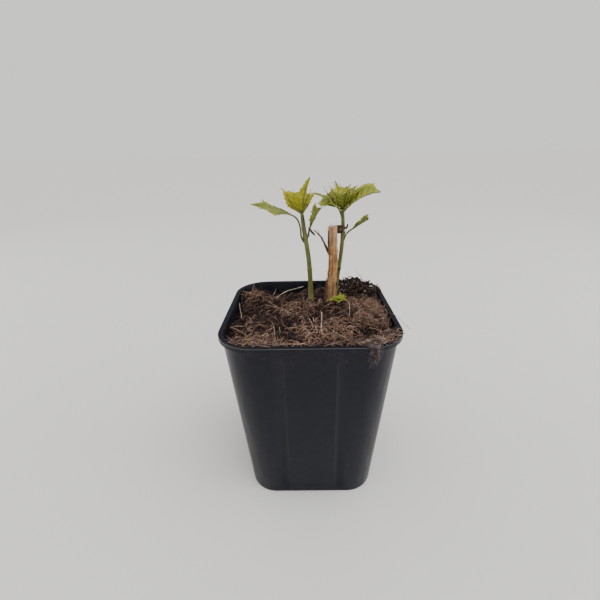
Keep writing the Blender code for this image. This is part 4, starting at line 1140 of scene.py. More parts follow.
def bark_finish(name, dark, middle, pale, shade_low, cut=None, low_reach=(FEET - 1 * MM, FEET + 17 * MM)):
    """Bark with upright streaks and cracks. With a cut colour, the stub's top shows wood."""
    made = bpy.data.materials.new(name)
    made.use_nodes = True
    tree = made.node_tree
    shader = tree.nodes["Principled BSDF"].inputs
    place = put(tree, "ShaderNodeTexCoord").outputs["Object"]
    broad = put(tree, "ShaderNodeGroup", {"node_tree": streaks}, Vector=place, Stretch=STREAKS_UP,
                Scale=620.0, Low=0.39, High=0.61).outputs
    fine = put(tree, "ShaderNodeGroup", {"node_tree": streaks}, Vector=place, Stretch=(1.0, 1.0, 0.22),
               Scale=2300.0, Low=0.40, High=0.62).outputs
    patch = put(tree, "ShaderNodeGroup", {"node_tree": mottle}, Vector=place, Scale=260.0, Low=0.42,
                High=0.7, Dark=(*middle, 1), Pale=(*pale, 1)).outputs["Color"]
    colour = blend_of(tree, broad["Mask"], (*dark, 1), patch)
    crack = ramp_of(tree, fine["Mask"], 0.0, 0.45, 0.55, 0.0)
    colour = blend_of(tree, crack, colour, tuple(0.45 * tone for tone in dark) + (1,))
    height = put(tree, "ShaderNodeSeparateXYZ", Vector=place).outputs
    low = ramp_of(tree, height[2], low_reach[0], low_reach[1], shade_low, 0.0)
    colour = blend_of(tree, low, colour, (0.060, 0.030, 0.018, 1))
    if cut:
        bleached = ramp_of(tree, height[2], STUB_TOP.z - 15 * MM, STUB_TOP.z - 3 * MM, 0.0, 0.3)
        colour = blend_of(tree, bleached, colour, (0.56, 0.37, 0.235, 1))
        off_axis = put(tree, "ShaderNodeVectorMath", {"operation": "SUBTRACT"}, i0=place,
                       i1=tuple(STUB_TOP)).outputs[0]
        flat = put(tree, "ShaderNodeVectorMath", {"operation": "MULTIPLY"}, i0=off_axis,
                   i1=(1.0, 1.0, 0.0)).outputs[0]
        radius = put(tree, "ShaderNodeVectorMath", {"operation": "LENGTH"}, i0=flat).outputs["Value"]
        rings = sum_of(tree, "SINE", sum_of(tree, "MULTIPLY", radius, 9500.0))
        wood = blend_of(tree, ramp_of(tree, rings, -1.0, 1.0), (*cut, 1), tuple(0.72 * c for c in cut) + (1,))
        pith = ramp_of(tree, radius, 0.25 * MM, 0.62 * MM, 0.75, 0.0)
        wood = blend_of(tree, pith, wood, (0.16, 0.085, 0.05, 1))
        facing = put(tree, "ShaderNodeSeparateXYZ", Vector=put(tree, "ShaderNodeNewGeometry").outputs["Normal"])
        looks_up = ramp_of(tree, facing.outputs[2], 0.35, 0.75)
        high = ramp_of(tree, height[2], STUB_TOP.z - 1.4 * MM, STUB_TOP.z - 0.7 * MM)
        colour = blend_of(tree, sum_of(tree, "MULTIPLY", looks_up, high), colour, wood)
    tree.links.new(colour, shader["Base Color"])
    tree.links.new(ramp_of(tree, broad["Mask"], 0.0, 1.0, 0.85, 0.62), shader["Roughness"])
    shader["Specular IOR Level"].default_value = 0.35
    bump = put(tree, "ShaderNodeBump", Height=broad["Height"], Strength=0.7, Distance=0.00035)
    bump = put(tree, "ShaderNodeBump", Height=fine["Height"], Strength=0.6, Distance=0.00012,
               Normal=bump.outputs["Normal"])
    tree.links.new(bump.outputs["Normal"], shader["Normal"])
    return made


bark = bark_finish("bark", (0.19, 0.080, 0.024), (0.40, 0.20, 0.070), (0.58, 0.37, 0.185), 0.55,
                   cut=(0.55, 0.39, 0.28), low_reach=(FEET - 1 * MM, FEET + 20 * MM))
loose_bark = bark_finish("loose_bark", (0.070, 0.036, 0.025), (0.13, 0.075, 0.050), (0.21, 0.135, 0.095), 0.3)
hand_over(stub, bark, "bark", "old_stem")
hand_over(strip, loose_bark, "bark", "old_stem")
hand_over(splinters, bark, "bark", "old_stem")

# %% [markdown]
# A thin dead twig leaves the stub on its left, rises and ends in a withered fork. It is a tube
# through points beside the frame's own, with knuckles where its buds were. It is nearly black at
# its foot, and its tip has bleached.

# %% The dead twig
TWIG_POINTS = ((12.1, 13.0, 126.4), (10.9, 12.95, 128.6), (9.8, 12.9, 131.2), (8.6, 12.8, 134.0),
               (7.5, 12.8, 136.2), (6.1, 12.7, 137.9), (4.6, 12.6, 139.5), (3.3, 12.5, 140.8))
TWIG_RADIUS = 0.72 * MM
TWIG_STEPS = 44

twig_line = through(TWIG_POINTS, TWIG_STEPS) * MM
twig_share = np.linspace(0, 1, TWIG_STEPS)
twig_radii = TWIG_RADIUS * (1 - 0.62 * twig_share ** 1.2)
for at in (0.3, 0.52, 0.74):
    twig_radii += 0.13 * MM * np.exp(-((twig_share - at) / 0.03) ** 2)
for k in range(TWIG_STEPS):
    twig_line[k] += 0.12 * MM * np.array(noise.noise_vector(Vector((k * 0.5, 2.0, 4.0))))
fork_line = through((twig_line[31], twig_line[34] + np.array((0.5, 0.2, 0.6)) * MM,
                     twig_line[37] + np.array((0.6, 0.1, 1.2)) * MM), TWIG_STEPS)
twig = tubes("dead_twig_detail", np.array([twig_line, fork_line]),
             np.array([twig_radii, 0.24 * MM * (1 - 0.7 * twig_share)]), sides=10)
twig_wood = bark_finish("dry_twig_wood", (0.060, 0.038, 0.030), (0.13, 0.095, 0.075), (0.26, 0.215, 0.18), 0.85,
                        low_reach=(0.129, 0.1385))
hand_over(twig, twig_wood, "dry_wood", "dead_twig")

# %% [markdown]
# Two green shoots have grown from the old root. Each is a tube along a smooth line through three
# of the frame's points. Its skin has faint lengthwise ridges and swells a little where a leaf
# leaves it, and its foot is set into the mix.

# %% The green shoots
LEFT_SHOOT = ((1.5, 14.0, 98.7), (0.4, 14.0, 122.0), (-2.2, 13.1, 141.0))
RIGHT_SHOOT = ((15.6, 19.5, 98.7), (18.9, 18.2, 126.0), (19.6, 17.4, 141.0))
LEFT_RADIUS = 1.45 * MM
RIGHT_RADIUS = 1.30 * MM
SHOOT_TAPER = 0.86
SHOOT_FLARE = 0.5 * MM
SHOOT_FLARE_HEIGHT = 3 * MM
SHOOT_STEPS = 90


def shoot_radius(radius, share, rise):
    """The shoot's radius at a share of its way and a rise above its foot."""
    return radius * (1 + (SHOOT_TAPER - 1) * share) + SHOOT_FLARE * np.exp(-rise / SHOOT_FLARE_HEIGHT)


def grow_shoot(name, points, radius, nodes_at, seed):
    """A shoot's tube. Nodes are the heights, in millimetres, where it swells."""
    line = through(points, SHOOT_STEPS) * MM
    rise = line[:, 2] - line[0, 2]
    radii = shoot_radius(radius, rise / rise[-1], rise)
    for height in nodes_at:
        radii = radii + 0.17 * MM * np.exp(-((line[:, 2] - height * MM) / (0.8 * MM)) ** 2)
    buried = np.array([[line[0, 0], line[0, 1], line[0, 2] - 1.0 * MM]])
    line = np.vstack([buried, line])
    radii = np.append(radii[:1], radii)
    made = tubes(name, line[None], radii[None], sides=20)
    for vert in made.data.vertices:
        at = np.argmin(np.abs(line[:, 2] - vert.co.z))
        out = Vector((vert.co.x - line[at, 0], vert.co.y - line[at, 1], 0))
        angle = math.atan2(out.y, out.x)
        ridge = 0.035 * math.sin(7 * angle + seed) + 0.05 * noise.noise(
            Vector((2 * math.cos(angle), 2 * math.sin(angle), vert.co.z / (3 * MM) + seed)))
        vert.co += out.normalized() * ridge * MM
    made.data.update()
    return made, line


left_shoot, left_line = grow_shoot("left_shoot_skin", LEFT_SHOOT, LEFT_RADIUS, (118.0, 136.5), 1)
right_shoot, right_line = grow_shoot("right_shoot_skin", RIGHT_SHOOT, RIGHT_RADIUS, (117.5, 138.0), 2)
print("Shoots:", triangles(left_shoot) + triangles(right_shoot), "triangles")


def skin_finish(name, dark, pale, foot, rough=0.42, lit_top_colour=None):
    """Smooth green skin with fine lengthwise lines, paler at the foot, and with painted light on its up-facing
    side when a lit colour is given.
    """
    made = bpy.data.materials.new(name)
    made.use_nodes = True
    tree = made.node_tree
    shader = tree.nodes["Principled BSDF"].inputs
    place = put(tree, "ShaderNodeTexCoord").outputs["Object"]
    lines = put(tree, "ShaderNodeGroup", {"node_tree": streaks}, Vector=place, Stretch=(1.0, 1.0, 0.08),
                Scale=900.0, Low=0.32, High=0.68).outputs
    cloud = put(tree, "ShaderNodeGroup", {"node_tree": mottle}, Vector=place, Scale=170.0, Low=0.35,
                High=0.7, Dark=(*dark, 1), Pale=tuple(0.5 * (a + b) for a, b in zip(dark, pale)) + (1,)).outputs
    colour = blend_of(tree, ramp_of(tree, lines["Mask"], 0.0, 1.0, 0.0, 0.75), cloud["Color"], (*pale, 1))
    height = put(tree, "ShaderNodeSeparateXYZ", Vector=place).outputs[2]
    low = ramp_of(tree, height, FEET, FEET + 13 * MM, 0.85, 0.0)
    colour = blend_of(tree, low, colour, (*foot, 1))
    if lit_top_colour:
        # Painted light: faces that look up are blended to a paler colour, as if lit from above.
        facing = put(tree, "ShaderNodeSeparateXYZ", Vector=put(tree, "ShaderNodeNewGeometry").outputs["Normal"])
        above = ramp_of(tree, facing.outputs[2], 0.25, 0.75, 0.0, 0.85)
        colour = blend_of(tree, above, colour, (*lit_top_colour, 1))
    dots = put(tree, "ShaderNodeGroup", {"node_tree": specks}, Vector=place, Scale=1700.0, Size=0.2,
               Share=0.25).outputs["Mask"]
    colour = blend_of(tree, sum_of(tree, "MULTIPLY", dots, 0.45), colour, (0.10, 0.055, 0.02, 1))
    tree.links.new(colour, shader["Base Color"])
    tree.links.new(ramp_of(tree, cloud["Mask"], 0.0, 1.0, rough, rough + 0.12), shader["Roughness"])
    bump = put(tree, "ShaderNodeBump", Height=lines["Height"], Strength=0.5, Distance=0.00012)
    tree.links.new(bump.outputs["Normal"], shader["Normal"])
    return made


shoot_skin = skin_finish("shoot_skin", (0.060, 0.072, 0.009), (0.140, 0.152, 0.026), (0.17, 0.14, 0.050))
# The stalks' skin carries painted light on its up-facing side.
stalk_skin = skin_finish("stalk_skin", (0.040, 0.050, 0.006), (0.105, 0.115, 0.018), (0.20, 0.20, 0.04),
                         lit_top_colour=(0.34, 0.34, 0.08))
hand_over(left_shoot, shoot_skin, "green_stem", "left_shoot")
hand_over(right_shoot, shoot_skin, "green_stem", "right_shoot")

# %% [markdown]
# The young leaves have three lobes, a long middle one and two short side ones, and toothed edges.
# The frame's leaves follow a rule: a middle line that leaves the stalk and arches, a half width
# for each share of the length, a fold along the midrib, and a wave. The same rule is written again
# here on a much finer grid. Its rows lie evenly along the leaf's edge, eight to a tooth, so that
# each tooth has a sharp tip. The skin between the side veins is pleated, and a Solidify modifier
# gives the blade its thickness.

# %% The rule of a leaf
STALK_RADIUS = 0.48 * MM
RIB_END_RADIUS = 0.20 * MM
RIB_SHARE = 0.82
STALK_STEPS = 5
LOBE_LEAN = 0.55
LOBE_TIP = 1.8
SHOULDER_DROP = 0.09
SIDE_LOBE_FILL = 0.94
FULL_FOLD_WIDTH = 5
SOURCE_THICKNESS = 0.45 * MM
BLADE_THICKNESS = 0.26 * MM
TOOTH_SPACING = 2.3 * MM
TOOTH_DEPTH = 0.95 * MM
TOOTH_ROWS = 8
TOOTH_TIP = 0.75
LOBE_SPIKE = 2.6 * MM
LOBE_SPIKE_REACH = 0.26
SPIKE_OUT = 0.72
SPIKE_AHEAD = 0.69
FULL_TOOTH_WIDTH = 13 * MM


class Leaf:
    """The named sizes of one leaf in millimetres and degrees, its stalk included."""

    def __init__(self, azimuth, rise, length, width, stalk=3, stalk_rise=72, arch=20, fold=20, roll=0,
                 sweep=0, wave=0.6, teeth=7, shoulder=0.5, grow=1.0, middle=0.45, below=1.2, tone=0.0,
                 drawn=1.0):
        self.azimuth, self.rise = azimuth, rise
        self.length, self.width = length * MM, width * MM
        self.stalk, self.stalk_rise = stalk * MM, stalk_rise
        self.arch, self.fold, self.roll, self.sweep = arch, fold, roll, sweep
        self.wave, self.teeth = wave * MM, teeth
        self.shoulder, self.grow, self.middle = shoulder, grow, middle
        self.below = below * MM
        self.tone = tone
        self.drawn = drawn


def half_width(leaf, t):
    """Half the blade's width at shares of its length: side lobes, then the middle lobe."""
    side = np.minimum(1, t / (SIDE_LOBE_FILL * leaf.shoulder)) ** leaf.grow
    side = side * (1 - smooth((t - leaf.shoulder) / SHOULDER_DROP))
    middle = leaf.middle * np.minimum(1, (1 - t) / (1 - leaf.shoulder))
    return leaf.width / 2 * (side + (1 - side) * np.minimum(middle, t / leaf.shoulder))


def leaf_line(foot, leaf):
    """The middle line from the leaf's foot to its tip: places, headings and sideways vectors."""
    blade_steps = 2 * leaf.teeth
    place = Vector(foot)
    line = []
    for step in range(STALK_STEPS + blade_steps + 1):
        share = (step / STALK_STEPS) ** 2 if step <= STALK_STEPS else (step - STALK_STEPS) / blade_steps
        rise = leaf.rise - leaf.arch * share
        sweep = leaf.sweep * share * 2
        if step <= STALK_STEPS:
            rise = leaf.stalk_rise + (leaf.rise - leaf.stalk_rise) * share
            sweep = 0.0
        rise, sweep, turn = (math.radians(a) for a in (rise, sweep, leaf.azimuth))
        flat = Vector((math.cos(turn), math.sin(turn), 0))
        heading = flat * math.cos(rise) + Vector((0, 0, math.sin(rise)))
        side = flat.cross(Vector((0, 0, 1)))
        heading, side = (heading * math.cos(sweep) + side * math.sin(sweep),
                         side * math.cos(sweep) - heading * math.sin(sweep))
        line.append((tuple(place), tuple(heading), tuple(side)))
        stride = leaf.stalk / STALK_STEPS if step < STALK_STEPS else leaf.length / blade_steps
        place += heading * stride
    return np.array(line)


def along(values, shares):
    """Smooth values between evenly spaced ones, at shares from 0 to 1."""
    ends = np.vstack([2 * values[0] - values[1], values, 2 * values[-1] - values[-2]])
    spot = np.clip(shares, 0, 1) * (len(values) - 1)
    at = np.minimum(spot.astype(int), len(values) - 2)
    t = (spot - at)[:, None]
    before, start, end, after = ends[at], ends[at + 1], ends[at + 2], ends[at + 3]
    return 0.5 * (2 * start + (end - before) * t + (2 * before - 5 * start + 4 * end - after) * t * t
                  + (3 * start - before - 3 * end + after) * t ** 3)


print("The leaf's rule is ready")

# %% The leaf's edge
TABLE_ROWS = 1200


class Edge:
    """The outline of one side of a leaf: its half widths, forward leans, and the teeth along it."""

    def __init__(self, leaf):
        t = np.linspace(0, 1, TABLE_ROWS)
        width = np.maximum(half_width(leaf, t), STALK_RADIUS * 0.7 * (1 - t ** 8))
        lobe = 1 + LOBE_TIP * leaf.drawn * np.exp(-((t - leaf.shoulder) / SHOULDER_DROP) ** 2)
        lean = LOBE_LEAN * lobe * leaf.length / (2 * leaf.teeth) * smooth(t / 0.04) * smooth((1 - t) / 0.04)
        ahead, out = np.gradient(t * leaf.length + lean), np.gradient(width)
        step = np.hypot(ahead, out)
        run = np.concatenate([[0], np.cumsum(0.5 * (step[1:] + step[:-1]))])
        small = np.clip(leaf.width / FULL_TOOTH_WIDTH, 0.3, 1.0)
        self.count = max(5, round(run[-1] / (TOOTH_SPACING * small)))
        self.t, self.width, self.lean = t, width, lean
        self.phase = run / run[-1] * self.count
        self.depth = TOOTH_DEPTH * small * np.minimum(1, width / (2.6 * MM * small)) * smooth(t / 0.03)
        at_lobe = np.interp(leaf.shoulder + 0.01, t, self.phase)
        self.spike = LOBE_SPIKE * small * leaf.drawn * np.exp(-((self.phase - at_lobe) / LOBE_SPIKE_REACH) ** 2)
        self.normal_out, self.normal_ahead = ahead / step, -out / step

    def at(self, name, t):
        return np.interp(t, self.t, getattr(self, name))

    def rows(self):
        """The shares of the length at which the blade's rows lie, eight rows to each tooth."""
        return np.interp(np.arange(TOOTH_ROWS * self.count + 1) / TOOTH_ROWS, self.phase, self.t)


def tooth(count, seed):
    """How far a tooth stands out, from 0 to 1, with teeth of uneven size."""
    number = np.floor(count + 1e-6)
    q = np.clip(count - number, 0, 1)
    shape = np.where(q < TOOTH_TIP, (q / TOOTH_TIP) ** 1.35, (1 - q) / (1 - TOOTH_TIP))
    return shape * (0.80 + 0.20 * np.sin(2.4 * number + seed))


print("The teeth stand %.1f mm apart on a large leaf" % (TOOTH_SPACING / MM))

# %% The blade on a fine grid
VEIN_SLOPE = 0.13
FAN_STEP = 17.0


def leaf_frame(line, leaf, t):
    """Places, headings, across and up vectors of the blade at shares of its length."""
    blade = line[STALK_STEPS:]
    place = along(blade[:, 0], t)
    heading = unit(along(blade[:, 1], t))
    side = unit(along(blade[:, 2], t))
    roll = math.radians(leaf.roll)
    across = side * math.cos(roll) + np.cross(heading, side) * math.sin(roll)
    return place, heading, across, np.cross(across, heading)


def on_blade(line, leaf, edge, s, t, seed):
    """Places on the leaf's skin for shares across (-1 to 1) and along (0 to 1)."""
    place, heading, across, lift = leaf_frame(line, leaf, t)
    width = edge.at("width", t)
    beyond = np.abs(s)
    near_edge = smooth((beyond - 0.5) / 0.5)
    notch = edge.at("depth", t) * (1 - tooth(edge.at("phase", t), seed + s.round())) * near_edge
    spike = edge.at("spike", t) * near_edge ** 3
    fold = leaf.fold * np.minimum(1, width / (FULL_FOLD_WIDTH * SOURCE_THICKNESS))
    out = width * beyond - notch * edge.at("normal_out", t) + SPIKE_OUT * spike
    ahead = edge.at("lean", t) * near_edge - notch * edge.at("normal_ahead", t) + SPIKE_AHEAD * spike
    angle = np.radians(fold * (0.6 + 0.4 * beyond))
    wave = leaf.wave * s * beyond * np.sin(9 * t + 1.3 * s) * np.minimum(1, width / leaf.width * 3)
    count = (t + VEIN_SLOPE * (1 - beyond)) * leaf.teeth
    vein = np.abs(count - np.floor(count) - 0.5)
    room = np.minimum(1, width / (3 * MM))
    pleat = 0.32 * MM * (smooth(vein / 0.5) - 0.5) * room * smooth(beyond / 0.25) * smooth((t - 0.12) / 0.2)
    rib = -0.24 * MM * np.exp(-(beyond * width / (0.5 * MM)) ** 2) * smooth(t / 0.1)
    curl = 0.34 * MM * near_edge * np.sin(2.3 * 6.283 * t + seed + 1.7 * np.sign(s)) * room
    lift_by = out * np.sin(angle) + wave + pleat + rib + curl
    return (place + across * (np.sign(s) * out * np.cos(angle))[:, None] + lift * lift_by[:, None]
            + heading * ahead[:, None])


def grow_blade(name, foot, leaf, seed):
    """One thin toothed blade, with its leaf coordinates as UVs and as attributes."""
    edge = Edge(leaf)
    shares = edge.rows()
    columns = 2 * max(6, round(leaf.width / (0.95 * MM)))
    clear_selection()
    bpy.ops.mesh.primitive_grid_add(x_subdivisions=columns, y_subdivisions=len(shares) - 1, size=1.0,
                                    location=(0, 0, 0), calc_uvs=True)
    blade = bpy.context.object
    blade.name = name
    mesh = blade.data
    flat = np.empty(3 * len(mesh.vertices))
    mesh.vertices.foreach_get("co", flat)
    flat = flat.reshape(-1, 3)
    s = np.clip(2 * flat[:, 0], -1, 1)
    t = shares[np.rint((flat[:, 1] + 0.5) * (len(shares) - 1)).astype(int)]
    line = leaf_line(foot, leaf)
    points = on_blade(line, leaf, edge, s, t, seed)
    points[t > 1 - 1e-6] = line[-1, 0]
    mesh.vertices.foreach_set("co", points.ravel())
    away = np.abs(s) * np.maximum(half_width(leaf, t), STALK_RADIUS * 0.7)
    fan = np.degrees(np.arctan2(away, (t + 0.03) * leaf.length)) / FAN_STEP + 0.5
    numbers = np.stack([away / MM, (t + VEIN_SLOPE * (1 - np.abs(s))) * leaf.teeth, fan], axis=1)
    told = mesh.attributes.new("leaf_form", "FLOAT_VECTOR", "POINT")
    told.data.foreach_set("vector", numbers.astype(np.float32).ravel())
    sharp = tooth(edge.at("phase", t), seed + s.round()) * smooth((np.abs(s) - 0.8) / 0.2)
    tones = np.stack([np.full(len(s), leaf.tone), sharp, np.zeros(len(s))], axis=1)
    told = mesh.attributes.new("leaf_tone", "FLOAT_VECTOR", "POINT")
    told.data.foreach_set("vector", tones.astype(np.float32).ravel())
    # The grid's own UVs run with its even rows, so their second number is set to the true share
    corner_at = np.empty(len(mesh.loops), dtype=np.int32)
    mesh.loops.foreach_get("vertex_index", corner_at)
    spread = np.stack([0.5 + 0.5 * s[corner_at], t[corner_at]], axis=1)
    mesh.uv_layers[0].name = "leaf_place"
    mesh.uv_layers[0].data.foreach_set("uv", spread.astype(np.float32).ravel())
    bpy.ops.object.mode_set(mode="EDIT")
    bpy.ops.mesh.select_all(action="SELECT")
    bpy.ops.mesh.remove_doubles(threshold=0.004 * MM)
    bpy.ops.object.mode_set(mode="OBJECT")
    apply_modifier(blade, "thickness", "SOLIDIFY", thickness=BLADE_THICKNESS, offset=0.0, use_rim=True)
    bpy.ops.object.shade_smooth_by_angle(angle=math.radians(70))
    return blade, line


def grow_stalk(name, line, leaf, seed, root=None):
    """The stalk and the midrib under the blade, and two side ribs, as tubes."""
    ribs = round(2 * leaf.teeth * RIB_SHARE)
    t = np.linspace(0, ribs / (2 * leaf.teeth), 30)
    place, heading, across, lift = leaf_frame(line, leaf, t)
    under = place - lift * (0.16 * MM + 0.12 * MM * smooth(t / 0.2))[:, None]
    stalk = list(line[:STALK_STEPS, 0])
    if root is not None:
        stalk = [np.array(root)] + stalk
    before = through(np.array(stalk + [under[0]]), 24)
    path = np.vstack([before, under[1:]])
    radii = np.concatenate([np.full(24, STALK_RADIUS),
                            STALK_RADIUS + (RIB_END_RADIUS - STALK_RADIUS) * (t[1:] / t[-1]) ** 0.7])
    radii[:24] *= 1 + 0.12 * np.linspace(1, 0, 24) ** 3
    radii[-1] *= 0.3
    parts = [tubes(name + "_midrib", path[None], radii[None], sides=8)]
    edge = Edge(leaf)
    side_paths = []
    for hand in (-1, 1):
        u = np.linspace(0, 1, 20)
        t_side = u * leaf.shoulder * 0.96
        skin = on_blade(line, leaf, edge, hand * (0.10 + 0.72 * u), t_side, seed)
        lift_side = leaf_frame(line, leaf, t_side)[3]
        side_paths.append(skin - lift_side * 0.13 * MM)
    side_radii = np.tile(0.24 * MM * (1 - 0.65 * np.linspace(0, 1, 20)), (2, 1))
    parts.append(tubes(name + "_side_ribs", np.array(side_paths), side_radii, sides=6))
    return parts


def joined(name, parts):
    """Joins meshes into one, under a new name."""
    make_active(parts[0])
    for part in parts:
        part.select_set(True)
    bpy.ops.object.join()
    parts[0].name = name
    return parts[0]


print("Blades and stalks can be grown")

# %% [markdown]
# A blade's finish follows its own veins. The base is painted dark green as shade where the blade
# meets its stalk, the skin along the ribs is dark green, the edge is a bright yellow green, the
# veins are drawn in, and the tips of the leaf and of its teeth are a little brown. Clouds of two
# sizes keep any two patches from being alike. Each leaf also has a tone between -1 and 1: a
# negative tone darkens older leaves and is painted shade on those that stand in shadow, and a
# positive one makes the youngest leaves nearly yellow, partly their own colour and partly painted
# glow of light shining through them.

# %% The leaves' finish


def leaf_finish(name, body, edge, base, vein, rough=0.5):
    """A leaf's skin that reads the blade's own place, form and tone."""
    made = bpy.data.materials.new(name)
    made.use_nodes = True
    tree = made.node_tree
    shader = tree.nodes["Principled BSDF"].inputs
    place = put(tree, "ShaderNodeTexCoord").outputs["Object"]
    on_leaf = put(tree, "ShaderNodeUVMap", {"uv_map": "leaf_place"}).outputs["UV"]
    form = put(tree, "ShaderNodeAttribute", {"attribute_name": "leaf_form"}).outputs["Vector"]
    told = put(tree, "ShaderNodeAttribute", {"attribute_name": "leaf_tone"}).outputs["Vector"]
    told = put(tree, "ShaderNodeSeparateXYZ", Vector=told).outputs
    tone = told[0]
    masks = put(tree, "ShaderNodeGroup", {"node_tree": leaf_veins}, Form=form, Place=on_leaf,
                Width=1.0).outputs
    cloud = put(tree, "ShaderNodeGroup", {"node_tree": mottle}, Vector=place, Scale=330.0, Low=0.34,
                High=0.68, Dark=tuple(0.72 * c for c in body) + (1,), Pale=(*body, 1)).outputs
    fine = put(tree, "ShaderNodeTexNoise", Vector=place, Scale=1900.0, Detail=4.0).outputs["Fac"]
    # A negative tone is partly age and partly painted shade; a positive tone is partly youth and partly painted
    # glow of light through the blade.
    dark = ramp_of(tree, tone, 0.0, -1.0, 0.0, 0.8)
    yellow = ramp_of(tree, tone, 0.0, 1.0, 0.0, 0.9)
    colour = blend_of(tree, dark, cloud["Color"], (*base, 1))
    colour = blend_of(tree, yellow, colour, (*edge, 1))
    # Painted shade: the blade's base, near its stalk, is blended to the dark base green.
    shaded = sum_of(tree, "MULTIPLY", masks["Base"], ramp_of(tree, tone, -0.2, 1.0, 0.85, 0.3))
    colour = blend_of(tree, shaded, colour, (*base, 1))
    edge_share = sum_of(tree, "MULTIPLY", masks["Edge"], ramp_of(tree, cloud["Mask"], 0.0, 1.0, 0.45, 1.0))
    edge_share = sum_of(tree, "MULTIPLY", edge_share, ramp_of(tree, tone, -1.0, 0.2, 0.55, 1.0))
    colour = blend_of(tree, edge_share, colour, (*edge, 1))
    colour = blend_of(tree, sum_of(tree, "MULTIPLY", masks["Veins"], 0.7), colour, (*vein, 1))
    brown = sum_of(tree, "MAXIMUM", masks["Tip"], ramp_of(tree, told[1], 0.55, 1.0, 0.0, 0.8))
    brown = ramp_of(tree, sum_of(tree, "ADD", brown, sum_of(tree, "MULTIPLY", fine, 0.5)), 0.7, 1.2)
    colour = blend_of(tree, brown, colour, (0.085, 0.045, 0.022, 1))
    tree.links.new(colour, shader["Base Color"])
    tree.links.new(ramp_of(tree, fine, 0.3, 0.7, rough - 0.06, rough + 0.1), shader["Roughness"])
    shader["Specular IOR Level"].default_value = 0.22
    drawn = sum_of(tree, "MULTIPLY", masks["Veins"], -1.0)
    bump = put(tree, "ShaderNodeBump", Height=drawn, Strength=0.7, Distance=0.0002)
    bump = put(tree, "ShaderNodeBump", Height=fine, Strength=0.35, Distance=0.0001, Normal=bump.outputs["Normal"])
    tree.links.new(bump.outputs["Normal"], shader["Normal"])
    return made


# The young crown's bright yellow greens are partly their own colour and partly painted glow of light through the
# leaves.
bright_leaf = leaf_finish("bright_leaf", (0.32, 0.30, 0.006), (0.50, 0.45, 0.045), (0.095, 0.105, 0.005),
                          (0.13, 0.135, 0.006))
green_leaf = leaf_finish("green_leaf", (0.235, 0.265, 0.032), (0.45, 0.44, 0.06), (0.100, 0.122, 0.030),
                         (0.098, 0.118, 0.024))

# %% [markdown]
# Each crown grows from the shoot's tip: a short stem with its leaves close together. The sizes are
# the frame's own, so each leaf reaches as far as its solid does. Tiny folded leaves at the heart
# are new, because a growing tip always has them.

# %% The crowns' leaves
LEFT_CROWN_LEAVES = (
    Leaf(-84, 86, 19.2, 23.5, stalk=1.5, stalk_rise=80, arch=-2, fold=30, roll=26, sweep=-13, wave=0.5,
         shoulder=0.41, grow=0.6, middle=0.40, tone=0.3),
    Leaf(90, 58, 15, 12, arch=30, below=1.8, tone=-0.2),
    Leaf(142, 50, 12.5, 10, arch=35, below=2.4, tone=-0.4),
    Leaf(108, 72, 9, 6, stalk=1.5, fold=40, teeth=5, below=0.6, tone=0.6),
)
RIGHT_CROWN_LEAVES = (
    Leaf(-10, 50, 21.6, 14.5, stalk=2, arch=48, fold=25, roll=16, shoulder=0.8, grow=0.28, middle=0.95,
         tone=0.2, drawn=0.2),
    Leaf(159, 43, 17.4, 18.4, stalk=10.8, stalk_rise=80, arch=40, fold=6, roll=-22, shoulder=0.44, grow=0.5,
         middle=0.22, below=7.6, tone=-0.2, drawn=0.3),
    Leaf(122, 73, 16.5, 13, stalk=2, arch=16, shoulder=0.6, tone=0.7),
    Leaf(50, 58, 17, 14, arch=34, fold=26, shoulder=0.55, tone=0.4),
    Leaf(-84, 68, 13, 14, stalk=1.2, arch=24, fold=16, teeth=6, shoulder=0.75, grow=0.7, tone=-0.3),
)
# One more leaf of the dressed crown closes the fan between two of the frame's
FAN_LEAF = Leaf(-155, 46, 9.6, 12, stalk=1.6, arch=28, fold=6, roll=-16, teeth=6, shoulder=0.7, grow=0.5,
                tone=-0.25)
HEART_LEAVES = (
    Leaf(20, 82, 5.5, 2.6, stalk=0.8, fold=58, arch=8, wave=0.2, teeth=4, below=0.3),
    Leaf(200, 78, 4.6, 2.2, stalk=0.7, fold=60, arch=10, wave=0.2, teeth=4, below=0.4),
    Leaf(290, 74, 3.8, 2.0, stalk=0.6, fold=60, arch=12, wave=0.2, teeth=3, below=0.2),
)
LEFT_CROWN_TOP = Vector((-3.1 * MM, 13.5 * MM, 149.2 * MM))
RIGHT_CROWN_TOP = Vector((19.2 * MM, 17.0 * MM, 149.5 * MM))
CROWN_STEM_TAPER = 0.8


def grow_crown(name, shoot_line, shoot_width, top, leaves, blade_finish):
    """A crown's blades as one piece, and its stem with all stalks and ribs as another."""
    tip = Vector(shoot_line[-1])
    way = (top - tip).normalized()
    start = tip + way * 0.3 * MM
    base = shoot_width * SHOOT_TAPER
    stem_line = np.array([tuple((tip - way * 0.4 * MM).lerp(top + way * 0.6 * MM, k / 23)) for k in range(24)])
    stem_radii = base * (1 + (CROWN_STEM_TAPER - 1) * np.linspace(0, 1, 24))
    stem_radii[-3:] *= (0.95, 0.75, 0.4)
    blades = []
    stalks = [tubes(name + "_stem", stem_line[None], stem_radii[None], sides=16)]
    for number, leaf in enumerate(tuple(leaves) + HEART_LEAVES):
        foot = start.lerp(top, 1 - leaf.below / (top - start).length)
        blade, line = grow_blade("%s_blade_%d" % (name, number), foot, leaf, 1.7 * number)
        blades.append(blade)
        stalks += grow_stalk("%s_stalk_%d" % (name, number), line, leaf, 1.7 * number)
    blades = joined(name + "_blades", blades)
    stalks = joined(name + "_stalks", stalks)
    hand_over(blades, blade_finish, "young_leaf" if name == "left_crown" else "leaf", name)
    hand_over(stalks, stalk_skin, "green_stem", name)


